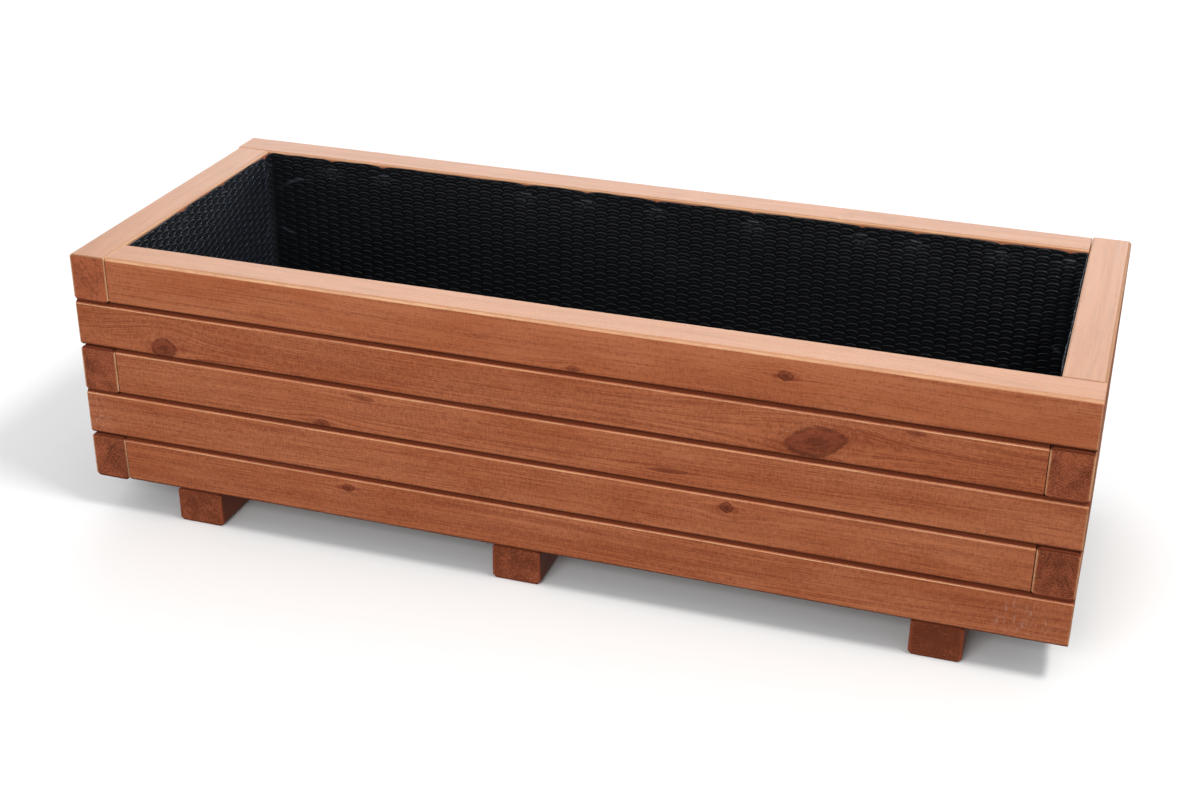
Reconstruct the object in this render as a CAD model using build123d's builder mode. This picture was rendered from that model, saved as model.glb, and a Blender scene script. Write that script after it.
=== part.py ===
"""Low trough planter: stacked rails with alternating butt corners, on three cross-bearers.

Frame: millimetres, +X along the length to the right, +Y to the back, +Z up.
The origin is the centre of the footprint, on the ground under the bearers.
Courses are numbered from 1 at the bottom.
"""

import os
from itertools import cycle

from build123d import *

# ---- driving dimensions -------------------------------------------------------------------------
length = 900.0                 # outside, left to right
depth = 350.0                  # outside, front to back
course_count = 5

rail_thickness = 35.0
rail_height = 45.0
arris_chamfer = 3.5            # bevel on a timber's long edges

bearer_width = 45.0            # the rail section again, laid flat
bearer_height = 35.0
bearer_setback = 4.0           # bearer end behind the outer face of the wall
bearer_end_distance = 106.0    # end of the planter to the centre of an outer bearer
middle_bearer_shift = -29.0    # the middle bearer sits a little left of the centre

board_count = 3
board_thickness = 15.0
board_gap = 4.0                # drainage gap on both sides of each floor board
board_end_gap = 2.0            # floor board to the end wall

liner_thickness = 1.0
liner_drop = 5.0               # top edge of the liner below the rim
liner_corner_radius = 6.0      # soft fold in an upright corner
liner_floor_radius = 4.0       # soft fold round the floor
drain_hole_diameter = 10.0
drain_hole_pitch = 110.0
drain_hole_end_distance = 60.0

staple_crown = 10.6            # width over the legs
staple_wire_width = 1.2
staple_wire_thickness = 0.6
staple_leg_length = 8.0        # into the timber, past the liner
staple_drop = 7.0              # staple below the top edge of the liner
staple_corner_clearance = 9.0  # nearest that a staple stands to the next wall
long_staple_steps = (72, 57, 155, 63, 72, 97, 105, 52, 78, 62)    # hand-set, uneven spacing
short_staple_steps = (104, 77, 88)

screw_diameter = 4.5           # course and bearer screws
screw_head_diameter = 9.0
screw_bite = 25.0              # course screw into the course above
bearer_screw_bite = 35.0       # bearer screw into the bottom course
screw_hole_clearance = 0.3     # round the shank, in the piece that the screw passes through
screw_tip_length = 5.0
recess_width = 4.4             # cross recess in a screw head, over its arms
recess_arm = 1.1
recess_depth = 1.8
corner_screw_stagger = 5.5     # odd and even levels step apart, so that a tip misses the next head
wall_screw_stagger = 15.0
wall_screw_from_bearer = 120.0

floor_screw_diameter = 3.5
floor_screw_head_diameter = 7.0
floor_screw_bite = 15.0        # into the bearer
floor_screw_spread = 50.0      # the two screws of a board on a bearer
floor_recess_width = 3.2

# ---- worked out ---------------------------------------------------------------------------------
inner_length = length - 2 * rail_thickness
inner_depth = depth - 2 * rail_thickness
walls_top = bearer_height + course_count * rail_height
bearer_length = depth - 2 * bearer_setback
bearer_x = length / 2 - bearer_end_distance
bearer_places = {"left": -bearer_x, "middle": middle_bearer_shift, "right": bearer_x}
floor_top = bearer_height + board_thickness
liner_top = walls_top - liner_drop
wall_line_x = (length - rail_thickness) / 2      # middle of an end wall
wall_line_y = (depth - rail_thickness) / 2       # middle of a long wall

board_width = (inner_depth - (board_count + 1) * board_gap) / board_count    # ripped to fill the floor
board_rows = [(i - (board_count - 1) / 2) * (board_width + board_gap) for i in range(board_count)]

os.makedirs("parts", exist_ok=True)


def write(part, name):
    """Label a finished piece and write it as its own node."""
    part.label = name
    export_step(part, f"parts/{name}.step")


# ---- screws -------------------------------------------------------------------------------------
def screw_at(heads, towards, diameter, head_diameter, screw_length, recess):
    """Countersunk screws at the points heads, which run towards the direction towards."""
    head_height = (head_diameter - diameter) / 2
    with BuildPart() as screws:
        with Locations(*[Plane(origin=point, z_dir=towards) for point in heads]):
            Cone(head_diameter / 2, diameter / 2, head_height, align=(Align.CENTER, Align.CENTER, Align.MIN))
            Cylinder(diameter / 2, screw_length - screw_tip_length, align=(Align.CENTER, Align.CENTER, Align.MIN))
        tips = [Vector(point) + Vector(towards) * (screw_length - screw_tip_length) for point in heads]
        with Locations(*[Plane(origin=tip, z_dir=towards) for tip in tips]):
            Cone(diameter / 2, diameter / 8, screw_tip_length, align=(Align.CENTER, Align.CENTER, Align.MIN))
        with Locations(*[Plane(origin=point, z_dir=towards) for point in heads]):
            for width, arm in ((recess, recess_arm), (recess_arm, recess)):
                Box(width, arm, recess_depth, align=(Align.CENTER, Align.CENTER, Align.MIN), mode=Mode.SUBTRACT)
    return screws.part


def level_screws(level):
    """Screw places (x, y) of the joint between course level and course level + 1."""
    side = 1 if level % 2 else -1
    corner_x = wall_line_x + side * corner_screw_stagger
    corner_y = wall_line_y + side * corner_screw_stagger
    wall_x = bearer_x - wall_screw_from_bearer + side * wall_screw_stagger
    places = [(i * corner_x, j * corner_y) for i in (-1, 1) for j in (-1, 1)]
    places += [(i * wall_x, j * wall_line_y) for i in (-1, 1) for j in (-1, 1)]
    places += [(i * wall_line_x, side * wall_screw_stagger) for i in (-1, 1)]
    return places


bearer_screw_places = [(x, j * wall_line_y) for x in bearer_places.values() for j in (-1, 1)]
floor_screw_places = [
    (x, row + i * floor_screw_spread / 2) for x in bearer_places.values() for row in board_rows for i in (-1, 1)
]

course_screw_heads = [
    (x, y, bearer_height + (level - 1) * rail_height)
    for level in range(1, course_count)
    for x, y in level_screws(level)
]
up, down = (0, 0, 1), (0, 0, -1)
course_screws = screw_at(
    course_screw_heads, up, screw_diameter, screw_head_diameter, rail_height + screw_bite, recess_width
)
bearer_screws = screw_at(
    [(x, y, 0) for x, y in bearer_screw_places],
    up, screw_diameter, screw_head_diameter, bearer_height + bearer_screw_bite, recess_width,
)
floor_screws = screw_at(
    [(x, y, floor_top) for x, y in floor_screw_places],
    down, floor_screw_diameter, floor_screw_head_diameter, board_thickness + floor_screw_bite, floor_recess_width,
)
write(course_screws, "course_screws")
write(bearer_screws, "bearer_screws")
write(floor_screws, "floor_screws")


# ---- staples ------------------------------------------------------------------------------------
def staple_row(steps, run):
    """Distances of the staples from the start of a wall that is run long."""
    places, place = [], 0.0
    for step in cycle(steps):
        place += step
        if place > run - staple_corner_clearance:
            return places
        places.append(place)


def staple_planes():
    """A plane for each staple: its origin on the wall's inner face, X along the wall, Z into the room."""
    z = liner_top - staple_drop
    half_x, half_y = inner_length / 2, inner_depth / 2
    planes = []
    for place in staple_row(long_staple_steps, inner_length):
        planes.append(Plane(origin=(place - half_x, half_y, z), x_dir=(1, 0, 0), z_dir=(0, -1, 0)))
        planes.append(Plane(origin=(half_x - place, -half_y, z), x_dir=(-1, 0, 0), z_dir=(0, 1, 0)))
    for place in staple_row(short_staple_steps, inner_depth):
        planes.append(Plane(origin=(-half_x, place - half_y, z), x_dir=(0, 1, 0), z_dir=(1, 0, 0)))
        planes.append(Plane(origin=(half_x, half_y - place, z), x_dir=(0, -1, 0), z_dir=(-1, 0, 0)))
    return planes


with BuildPart() as staples:
    leg_spread = staple_crown - staple_wire_thickness
    with Locations(*staple_planes()):
        with Locations((0, 0, liner_thickness)):
            Box(staple_crown, staple_wire_width, staple_wire_thickness, align=(Align.CENTER, Align.CENTER, Align.MIN))
            with Locations((-leg_spread / 2, 0, 0), (leg_spread / 2, 0, 0)):
                Box(
                    staple_wire_thickness, staple_wire_width, liner_thickness + staple_leg_length,
                    align=(Align.CENTER, Align.CENTER, Align.MAX),
                )
write(staples.part, "liner_staples")


# ---- rails --------------------------------------------------------------------------------------
def rail_run(wall, course):
    """Start and end of a rail along its wall, and the middle line of the wall.

    The four rails of a course chase each other round the corners, the other way round on every
    other course, so that each corner is lapped like brickwork.
    """
    odd = course % 2 == 1
    half = length / 2 if wall in ("front", "back") else depth / 2
    line = {"front": -wall_line_y, "back": wall_line_y, "left": -wall_line_x, "right": wall_line_x}[wall]
    butts_at_start = odd == (wall in ("front", "right"))
    if butts_at_start:
        return -half + rail_thickness, half, line
    return -half, half - rail_thickness, line


def make_rail(wall, course):
    """A rail, bored for the screws that pass through it and for the tips from the course below."""
    start, end, line = rail_run(wall, course)
    bottom = bearer_height + (course - 1) * rail_height
    middle = bottom + rail_height / 2
    if wall in ("front", "back"):
        section = Plane(origin=(start, line, middle), x_dir=(0, 1, 0), z_dir=(1, 0, 0))
        low_x, high_x, low_y, high_y = start, end, line - rail_thickness / 2, line + rail_thickness / 2
    else:
        section = Plane(origin=(line, start, middle), x_dir=(-1, 0, 0), z_dir=(0, 1, 0))
        low_x, high_x, low_y, high_y = line - rail_thickness / 2, line + rail_thickness / 2, start, end

    def from_below(places):
        """Planes under the rail, facing down, at those of the places that this rail covers."""
        covered = [(x, y) for x, y in places if low_x < x < high_x and low_y < y < high_y]
        return [Plane(origin=(x, y, bottom), z_dir=down) for x, y in covered]

    shank_holes = from_below(level_screws(course)) if course < course_count else []
    tip_holes = from_below(level_screws(course - 1)) if course > 1 else []
    bearer_tip_holes = from_below(bearer_screw_places) if course == 1 else []
    with BuildPart() as rail:
        with BuildSketch(section) as outline:
            Rectangle(rail_thickness, rail_height)
            chamfer(outline.vertices(), arris_chamfer)
        extrude(amount=end - start)
        if shank_holes:
            with Locations(*shank_holes):
                CounterSinkHole(
                    radius=screw_diameter / 2 + screw_hole_clearance,
                    counter_sink_radius=screw_head_diameter / 2 + screw_hole_clearance,
                    depth=rail_height,
                )
        if tip_holes:
            with Locations(*tip_holes):
                Hole(radius=screw_diameter / 2, depth=screw_bite)
        if bearer_tip_holes:
            with Locations(*bearer_tip_holes):
                Hole(radius=screw_diameter / 2, depth=bearer_screw_bite)
        if course == course_count:
            add(staples.part, mode=Mode.SUBTRACT)
    return rail.part


for wall in ("front", "back", "left", "right"):
    for course in range(1, course_count + 1):
        write(make_rail(wall, course), f"{wall}_rail_{course}")

# ---- bearers ------------------------------------------------------------------------------------
for place, x in bearer_places.items():
    with BuildPart() as bearer:
        section = Plane(origin=(x, -bearer_length / 2, bearer_height / 2), x_dir=(-1, 0, 0), z_dir=(0, 1, 0))
        with BuildSketch(section) as outline:
            Rectangle(bearer_width, bearer_height)
            chamfer(outline.vertices(), arris_chamfer)
        extrude(amount=bearer_length)
        with Locations(*[Plane(origin=(x, j * wall_line_y, 0), z_dir=down) for j in (-1, 1)]):
            CounterSinkHole(
                radius=screw_diameter / 2 + screw_hole_clearance,
                counter_sink_radius=screw_head_diameter / 2 + screw_hole_clearance,
                depth=bearer_height,
            )
        with Locations(*[(x, y, bearer_height) for screw_x, y in floor_screw_places if screw_x == x]):
            Hole(radius=floor_screw_diameter / 2, depth=floor_screw_bite)
    write(bearer.part, f"bearer_{place}")

# ---- floor boards -------------------------------------------------------------------------------
for number, row in enumerate(board_rows, start=1):
    with BuildPart() as board:
        with Locations((0, row, bearer_height)):
            Box(
                inner_length - 2 * board_end_gap, board_width, board_thickness,
                align=(Align.CENTER, Align.CENTER, Align.MIN),
            )
        chamfer(board.edges().filter_by(Axis.X), arris_chamfer)
        with Locations(*[
            (x, row + i * floor_screw_spread / 2, floor_top) for x in bearer_places.values() for i in (-1, 1)
        ]):
            CounterSinkHole(
                radius=floor_screw_diameter / 2 + screw_hole_clearance,
                counter_sink_radius=floor_screw_head_diameter / 2 + screw_hole_clearance,
                depth=board_thickness,
            )
    write(board.part, f"floor_board_{number}")

# ---- liner --------------------------------------------------------------------------------------
gap_rows = [(low + high) / 2 for low, high in zip(board_rows, board_rows[1:])]
drain_holes = int((inner_length - 2 * drain_hole_end_distance) // drain_hole_pitch) + 1
with BuildPart() as liner:
    with BuildSketch(Plane.XY.offset(floor_top)):
        RectangleRounded(inner_length, inner_depth, liner_corner_radius)
    extrude(amount=liner_top - floor_top)
    fillet(liner.faces().sort_by(Axis.Z)[0].edges(), liner_floor_radius)
    offset(amount=-liner_thickness, openings=liner.faces().sort_by(Axis.Z)[-1])
    with Locations(*[(0, y, floor_top) for y in gap_rows]):
        with GridLocations(drain_hole_pitch, 1, drain_holes, 1):
            Cylinder(drain_hole_diameter / 2, 3 * liner_thickness, mode=Mode.SUBTRACT)
    add(staples.part, mode=Mode.SUBTRACT)
write(liner.part, "liner")
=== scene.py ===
"""Looks of a low trough planter: stained timber rails, embossed film liner, staples and screws.

Everything is in metres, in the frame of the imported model: +X along the trough, +Y to the back,
+Z up, with the origin on the ground under the middle. Each piece's place is in its mesh.
"""

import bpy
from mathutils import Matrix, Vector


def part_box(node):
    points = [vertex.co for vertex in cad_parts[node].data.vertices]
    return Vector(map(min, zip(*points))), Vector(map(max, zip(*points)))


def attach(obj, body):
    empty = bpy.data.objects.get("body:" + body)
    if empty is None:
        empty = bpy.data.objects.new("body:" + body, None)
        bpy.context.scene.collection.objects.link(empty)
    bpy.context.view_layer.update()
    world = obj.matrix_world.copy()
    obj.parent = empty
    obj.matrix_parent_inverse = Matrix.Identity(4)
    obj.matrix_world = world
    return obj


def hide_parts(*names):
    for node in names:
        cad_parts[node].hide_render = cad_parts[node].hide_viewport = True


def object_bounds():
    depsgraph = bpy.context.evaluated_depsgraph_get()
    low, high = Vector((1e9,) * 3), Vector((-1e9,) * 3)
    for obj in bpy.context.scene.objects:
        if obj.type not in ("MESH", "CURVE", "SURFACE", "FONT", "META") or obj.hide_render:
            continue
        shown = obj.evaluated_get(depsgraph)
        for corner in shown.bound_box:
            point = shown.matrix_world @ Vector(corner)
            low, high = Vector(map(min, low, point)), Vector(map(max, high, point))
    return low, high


bl_info = {
    "name": "Trough Planter",
    "version": (1, 0, 0),
    "blender": (4, 5, 0),
    "location": "3D View > Sidebar > Planter",
    "description": "Builds the visible surfaces and finishes of a low timber trough planter",
    "category": "Object",
}

import math
from collections import namedtuple

import bpy
import numpy as np
from bpy.props import FloatProperty, FloatVectorProperty, PointerProperty
from mathutils import Matrix, Vector

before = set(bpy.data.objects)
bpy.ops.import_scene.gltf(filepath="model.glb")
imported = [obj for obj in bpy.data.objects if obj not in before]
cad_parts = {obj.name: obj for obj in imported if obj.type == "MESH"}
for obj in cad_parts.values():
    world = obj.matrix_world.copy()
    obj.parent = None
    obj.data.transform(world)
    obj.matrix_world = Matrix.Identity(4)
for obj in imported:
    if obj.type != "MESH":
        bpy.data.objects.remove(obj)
CAD_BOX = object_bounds()

MM = 0.001
COURSES = range(1, 6)    # from the ground up
LONG_RAILS = [f"{wall}_rail_{course}" for wall in ("front", "back") for course in COURSES]
END_RAILS = [f"{wall}_rail_{course}" for wall in ("left", "right") for course in COURSES]
RIM = [name for name in LONG_RAILS + END_RAILS if name.endswith("_5")]
BEARERS = ["bearer_left", "bearer_middle", "bearer_right"]
BOARDS = sorted(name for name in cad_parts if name.startswith("floor_board_"))
SCREWS = ["course_screws", "bearer_screws", "floor_screws"]

# A knot on a timber: its distance from the timber's low end, the face it shows on, its height on
# that face from the face's middle line, its length along the grain, its width, its turn and its strength.
Knot = namedtuple("Knot", "along face across length width turn strength")
KNOTS = {
    "front_rail_5": [
        Knot(619 * MM, "outer", 5 * MM, 13 * MM, 9 * MM, 0, 0.9),
        Knot(440 * MM, "outer", -17 * MM, 12 * MM, 6 * MM, 0, 0.5),
    ],
    "front_rail_4": [
        Knot(87 * MM, "outer", -13 * MM, 25 * MM, 21 * MM, 8, 0.8),
        Knot(682 * MM, "outer", -5 * MM, 52 * MM, 27 * MM, 14, 0.75),
        Knot(762 * MM, "outer", 17 * MM, 16 * MM, 6 * MM, 0, 0.35),
    ],
    "front_rail_3": [
        Knot(205 * MM, "outer", -18 * MM, 16 * MM, 9 * MM, 0, 0.7),
        Knot(245 * MM, "outer", 14 * MM, 26 * MM, 5 * MM, -6, 0.35),
        Knot(525 * MM, "outer", -8 * MM, 34 * MM, 5 * MM, 3, 0.45),
    ],
    "front_rail_2": [Knot(611 * MM, "outer", 11 * MM, 12 * MM, 10 * MM, 0, 0.95)],
    "front_rail_1": [Knot(227 * MM, "outer", 11 * MM, 12 * MM, 8 * MM, 0, 0.75)],
    "left_rail_1": [Knot(2 * MM, "inner", -10 * MM, 30 * MM, 24 * MM, 0, 1.0)],
}

# How dark a timber's faces and its cut ends are, from 0 to 1, where it isn't left to chance.
TONES = {
    "front_rail_5": (0.24, 0.5), "front_rail_4": (0.62, 0.5), "front_rail_3": (0.5, 0.5),
    "front_rail_2": (0.44, 0.5), "front_rail_1": (0.56, 0.5),
    "left_rail_5": (0.4, 0.08), "left_rail_3": (0.5, 0.44), "left_rail_1": (0.6, 0.48),
    "right_rail_4": (0.5, 0.5), "right_rail_2": (0.5, 0.66),
    "bearer_left": (0.6, 0.66), "bearer_middle": (0.6, 0.66), "bearer_right": (0.85, 1.0),
}

# Scuffs: distance from the timber's low end, height from its middle line, length and height of the patch.
Scuff = namedtuple("Scuff", "along across length height")
SCUFFS = {
    "front_rail_1": [Scuff(825 * MM, -2 * MM, 34 * MM, 26 * MM)],
    "front_rail_2": [Scuff(7 * MM, 2 * MM, 22 * MM, 24 * MM)],
}


# ---- settings -----------------------------------------------------------------------------------
def colour(name, description, default):
    """A colour setting, in linear light."""
    return FloatVectorProperty(
        name=name, description=description, default=default, subtype="COLOR", size=3, min=0, max=1
    )


def distance(name, description, default):
    """A length setting, in metres."""
    return FloatProperty(
        name=name, description=description, default=default, subtype="DISTANCE", unit="LENGTH", precision=5
    )


def angle(name, description, degrees):
    """An angle setting, whose default is given in degrees."""
    return FloatProperty(name=name, description=description, default=math.radians(degrees), subtype="ANGLE")


def lamp_power(name, description, watts):
    """A lamp's power setting."""
    return FloatProperty(name=name, description=description, default=watts, unit="POWER")


def spot(name, description, default):
    """A place setting, in metres."""
    return FloatVectorProperty(name=name, description=description, default=default, subtype="TRANSLATION")


class PlanterTimber(bpy.types.PropertyGroup):
    """Shape and stain of the timbers"""

    stain: colour("Stain", "Stained early wood", (0.505, 0.168, 0.073))
    late_wood: colour("Late wood", "Stained late wood, the darker line of each ring", (0.285, 0.072, 0.029))
    end_grain: colour("End grain", "Cut ends, which soak up more stain", (0.43, 0.118, 0.05))
    bearer_stain: colour("Bearer stain", "Stained early wood of the bearers", (0.24, 0.058, 0.022))
    # pale colour of wood where the stain is thin; it also paints highlights along arrises and round bare cut
    # ends
    worn_and_lit: colour("Worn arris", "Timber that shows where the stain is thin", (0.74, 0.45, 0.25))
    knot: colour("Knot", "Heart of a knot", (0.16, 0.032, 0.013))
    board: colour("Floor board", "Unstained floor board", (0.5, 0.3, 0.16))
    bevel: distance("Bevel", "Bevel of a timber's long edges", 3.5 * MM)
    saw_chamfer: distance("Saw chamfer", "Bevel that sanding leaves round a cut end", 0.5 * MM)
    butt_gap: distance("Butt gap", "Hairline left where a rail butts on another", 0.5 * MM)
    ring_spacing: distance("Ring spacing", "Width of a year's growth", 1.75 * MM)
    dent: distance("Dent depth", "Deepest dent in an arris", 0.45 * MM)
    wander: distance("Wander", "How far a planed face leaves its plane", 0.18 * MM)


class PlanterLiner(bpy.types.PropertyGroup):
    """Shape and colour of the embossed film"""

    film: colour("Film", "Black film", (0.0028, 0.0032, 0.0042))
    stress: colour("Stress mark", "Film that has whitened where it is pulled or creased", (0.06, 0.07, 0.09))
    pad_pitch: distance("Pad pitch", "Column to column of the embossed pads", 12.2 * MM)
    pad_rise: distance("Pad rise", "Pad to pad in a column", 7.14 * MM)
    pad_height: distance("Pad height", "How far a pad stands out", 0.68 * MM)
    slack: distance("Slack", "How far the film stands off the timber between staples", 1.4 * MM)
    edge_wave: distance("Edge wave", "Unevenness of the cut top edge", 0.8 * MM)
    staple_dip: distance("Staple dip", "How far a staple pulls the top edge down", 2.4 * MM)


class PlanterFixings(bpy.types.PropertyGroup):
    """Staples and screws"""

    wire: colour("Staple wire", "Galvanised wire", (0.16, 0.165, 0.175))
    screw: colour("Screw", "Yellow passivated steel", (0.6, 0.5, 0.27))
    wire_width: distance("Wire width", "Staple wire, along the film", 1.25 * MM)
    wire_thickness: distance("Wire thickness", "Staple wire, through the crown", 0.62 * MM)
    tilt: angle("Tilt", "Largest turn of a hand-set staple", 7)


class PlanterStage(bpy.types.PropertyGroup):
    """Camera, lights and floor"""

    floor: colour("Floor", "Pale floor", (0.84, 0.85, 0.86))
    sky: colour("Sky", "Even light from all round", (1.0, 1.0, 1.0))
    sky_strength: FloatProperty(name="Sky strength", description="Even light from above", default=0.62)
    ground_strength: FloatProperty(name="Ground strength", description="Even light from below", default=0.12)
    key_power: lamp_power("Key power", "Lamp above, to the right", 62)
    front_power: lamp_power("Front power", "Soft lamp in front", 22)
    back_power: lamp_power("Back power", "Wide lamp behind, which glosses the top faces", 33)
    lens: FloatProperty(name="Lens", description="Focal length, in millimetres", default=54.3)
    camera_at: spot("Camera", "Place of the camera", (0.4586, -1.4612, 0.8669))
    camera_aim: spot("Aim", "Point that the camera looks at", (-0.007, 0.0, 0.1042))
    camera_roll: angle("Roll", "Turn of the camera about its own line of sight", 0.7)


# ---- smooth unevenness --------------------------------------------------------------------------
def ripple(place, wavelength, rng, waves=5):
    """Smooth unevenness along a line, from about -1 to 1.

    The sum of a few sine waves of place, whose lengths spread about wavelength and whose starts
    are drawn from rng, divided by the root of their number.
    """
    lengths = wavelength * rng.uniform(0.6, 1.9, waves)
    starts = rng.uniform(0, 2 * math.pi, waves)
    phase = 2 * math.pi * place[..., None] / lengths + starts
    return np.sin(phase).sum(-1) / math.sqrt(waves)


def bell(offset, width):
    """The bell curve exp(-(offset / width) squared)."""
    return np.exp(-((offset / width) ** 2))


def smooth_step(value, low, high):
    """0 below low, 1 above high, and 3t^2 - 2t^3 of the share t between them."""
    t = np.clip((value - low) / (high - low), 0, 1)
    return t * t * (3 - 2 * t)


# ---- meshes -------------------------------------------------------------------------------------
def grid_faces(rows, columns, closed):
    """Quads of a grid of rows by columns points, whose last column joins the first when closed."""
    across = columns if closed else columns - 1
    row, column = np.meshgrid(np.arange(rows - 1), np.arange(across), indexing="ij")
    after = (column + 1) % columns
    here, above = row * columns, (row + 1) * columns
    corners = [here + column, here + after, above + after, above + column]
    return np.stack([c.ravel() for c in corners], axis=1)


def outward(points, quads, triangles):
    """The same faces, turned round if their signed volume says that they face inwards."""
    fans = np.concatenate([quads[:, [0, 1, 2]], quads[:, [0, 2, 3]], triangles])
    a, b, c = (points[fans[:, i]] for i in range(3))
    if (a * np.cross(b, c)).sum() < 0:
        return quads[:, ::-1], triangles[:, ::-1]
    return quads, triangles


NO_TRIANGLES = np.zeros((0, 3), int)


def make_piece(name, points, quads, triangles=NO_TRIANGLES, sharp_angle=None):
    """A mesh object at the origin from arrays of points, quads and triangles."""
    mesh = bpy.data.meshes.new(name)
    mesh.vertices.add(len(points))
    mesh.vertices.foreach_set("co", points.astype(np.float32).ravel())
    loops = np.concatenate([quads.ravel(), triangles.ravel()]).astype(np.int32)
    mesh.loops.add(len(loops))
    mesh.loops.foreach_set("vertex_index", loops)
    starts = np.concatenate([4 * np.arange(len(quads)), 4 * len(quads) + 3 * np.arange(len(triangles))])
    mesh.polygons.add(len(starts))
    mesh.polygons.foreach_set("loop_start", starts.astype(np.int32))
    mesh.update(calc_edges=True)
    mesh.validate()
    mesh.polygons.foreach_set("use_smooth", np.ones(len(mesh.polygons), bool))
    if sharp_angle is not None:
        mesh.set_sharp_from_angle(angle=sharp_angle)
    piece = bpy.data.objects.new(name, mesh)
    bpy.context.scene.collection.objects.link(piece)
    return piece


def set_vectors(piece, name, values):
    """Stores a vector for each point of a piece."""
    attribute = piece.data.attributes.new(name, "FLOAT_VECTOR", "POINT")
    attribute.data.foreach_set("vector", values.astype(np.float32).ravel())


def set_numbers(piece, name, values):
    """Stores a number for each point of a piece."""
    attribute = piece.data.attributes.new(name, "FLOAT", "POINT")
    attribute.data.foreach_set("value", values.astype(np.float32).ravel())


def hand_over(piece, material, slot, *nodes):
    """Gives a piece its material, lets it ride, and has it stand for CAD nodes. slot is not used."""
    piece.data.materials.append(material)
    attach(piece, "root")
    if nodes:
        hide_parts(*nodes)


# ---- shader nodes -------------------------------------------------------------------------------
def toned(tint, factor):
    """A colour, each part times a factor."""
    return tuple(factor * part for part in tint)


class Finish:
    """A material's nodes, with one short call for each kind that the finishes use."""

    def __init__(self, name):
        self.material = bpy.data.materials.new(name)
        self.material.use_nodes = True
        self.nodes = self.material.node_tree.nodes
        self.links = self.material.node_tree.links
        self.nodes.clear()
        self.shader = self.nodes.new("ShaderNodeBsdfPrincipled")
        output = self.nodes.new("ShaderNodeOutputMaterial")
        self.links.new(self.shader.outputs["BSDF"], output.inputs["Surface"])

    def put(self, value, socket):
        """Links a socket, or sets a plain value."""
        if isinstance(value, bpy.types.NodeSocket):
            self.links.new(value, socket)
        elif value is not None:
            socket.default_value = value

    def attribute(self, name, output="Vector"):
        """The vector of a piece's own attribute, or its number where output is Fac."""
        node = self.nodes.new("ShaderNodeAttribute")
        node.attribute_name = name
        return node.outputs[output]

    def place(self):
        """The point's place in the object."""
        return self.nodes.new("ShaderNodeTexCoord").outputs["Object"]

    def split(self, vector):
        """The three parts of a vector."""
        node = self.nodes.new("ShaderNodeSeparateXYZ")
        self.put(vector, node.inputs[0])
        return node.outputs[0], node.outputs[1], node.outputs[2]

    def join(self, x, y):
        """A flat vector from two numbers."""
        node = self.nodes.new("ShaderNodeCombineXYZ")
        self.put(x, node.inputs[0])
        self.put(y, node.inputs[1])
        return node.outputs[0]

    def sum(self, operation, a, b=None):
        """A Math node."""
        node = self.nodes.new("ShaderNodeMath")
        node.operation = operation
        self.put(a, node.inputs[0])
        self.put(b, node.inputs[1])
        return node.outputs[0]

    def times(self, product, *others):
        """The product of all the values."""
        for other in others:
            product = self.sum("MULTIPLY", product, other)
        return product

    def plus(self, total, *others):
        """The sum of all the values."""
        for other in others:
            total = self.sum("ADD", total, other)
        return total

    def heaped(self, total, *parts):
        """The total plus each part times its amount, from (part, amount) pairs."""
        return self.plus(total, *(self.times(part, amount) for part, amount in parts))

    def less(self, a, b):
        """a less b."""
        return self.sum("SUBTRACT", a, b)

    def centred(self, value):
        """A value about 0.5, moved to be about 0."""
        return self.less(value, 0.5)

    def scaled(self, vector, factors):
        """A vector, each part times its factor."""
        node = self.nodes.new("ShaderNodeVectorMath")
        node.operation = "MULTIPLY"
        self.put(vector, node.inputs[0])
        node.inputs[1].default_value = factors
        return node.outputs[0]

    def size(self, vector):
        """The length of a vector."""
        node = self.nodes.new("ShaderNodeVectorMath")
        node.operation = "LENGTH"
        self.put(vector, node.inputs[0])
        return node.outputs["Value"]

    def noise(self, vector, scale=1.0, detail=2, rough=0.5):
        """Smooth noise about 0.5."""
        node = self.nodes.new("ShaderNodeTexNoise")
        self.put(vector, node.inputs["Vector"])
        node.inputs["Scale"].default_value = scale
        node.inputs["Detail"].default_value = detail
        node.inputs["Roughness"].default_value = rough
        return node.outputs["Fac"]

    def specks(self, scale, detail=2, rough=0.5):
        """Noise about 0.5 that is as fine every way."""
        return self.noise(self.place(), scale, detail, rough)

    def fibres(self, grain, along, across, detail=2, rough=0.5):
        """Noise about 0.5 that is drawn out along the grain, with its fineness along and across."""
        return self.noise(self.scaled(grain, (along, across, across)), 1.0, detail, rough)

    def draw(self, number):
        """A random number from 0 to 1 for each whole number."""
        node = self.nodes.new("ShaderNodeTexWhiteNoise")
        node.noise_dimensions = "1D"
        self.put(number, node.inputs["W"])
        return node.outputs["Value"]

    def step(self, value, low, high, start=0.0, end=1.0):
        """start below low and end above high, with a smooth change between them."""
        node = self.nodes.new("ShaderNodeMapRange")
        node.interpolation_type = "SMOOTHSTEP"
        for item, socket in zip((value, low, high, start, end), node.inputs):
            self.put(item, socket)
        return node.outputs[0]

    def curve(self, value, stops):
        """A curve through (place, height) stops."""
        node = self.nodes.new("ShaderNodeValToRGB")
        self.put(value, node.inputs[0])
        ramp = node.color_ramp
        while len(ramp.elements) < len(stops):
            ramp.elements.new(0.5)
        for element, (place, height) in zip(ramp.elements, stops):
            element.position = place
            element.color = (height, height, height, 1)
        return node.outputs["Color"]

    def mix(self, share_of_b, a, b, blend="MIX"):
        """Colour a changed to b by a share."""
        node = self.nodes.new("ShaderNodeMix")
        node.data_type = "RGBA"
        node.blend_type = blend
        self.put(share_of_b, node.inputs["Factor"])
        for value, socket in ((a, node.inputs[6]), (b, node.inputs[7])):
            if not isinstance(value, bpy.types.NodeSocket):
                value = (*tuple(value)[:3], 1)
            self.put(value, socket)
        return node.outputs[2]

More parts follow.
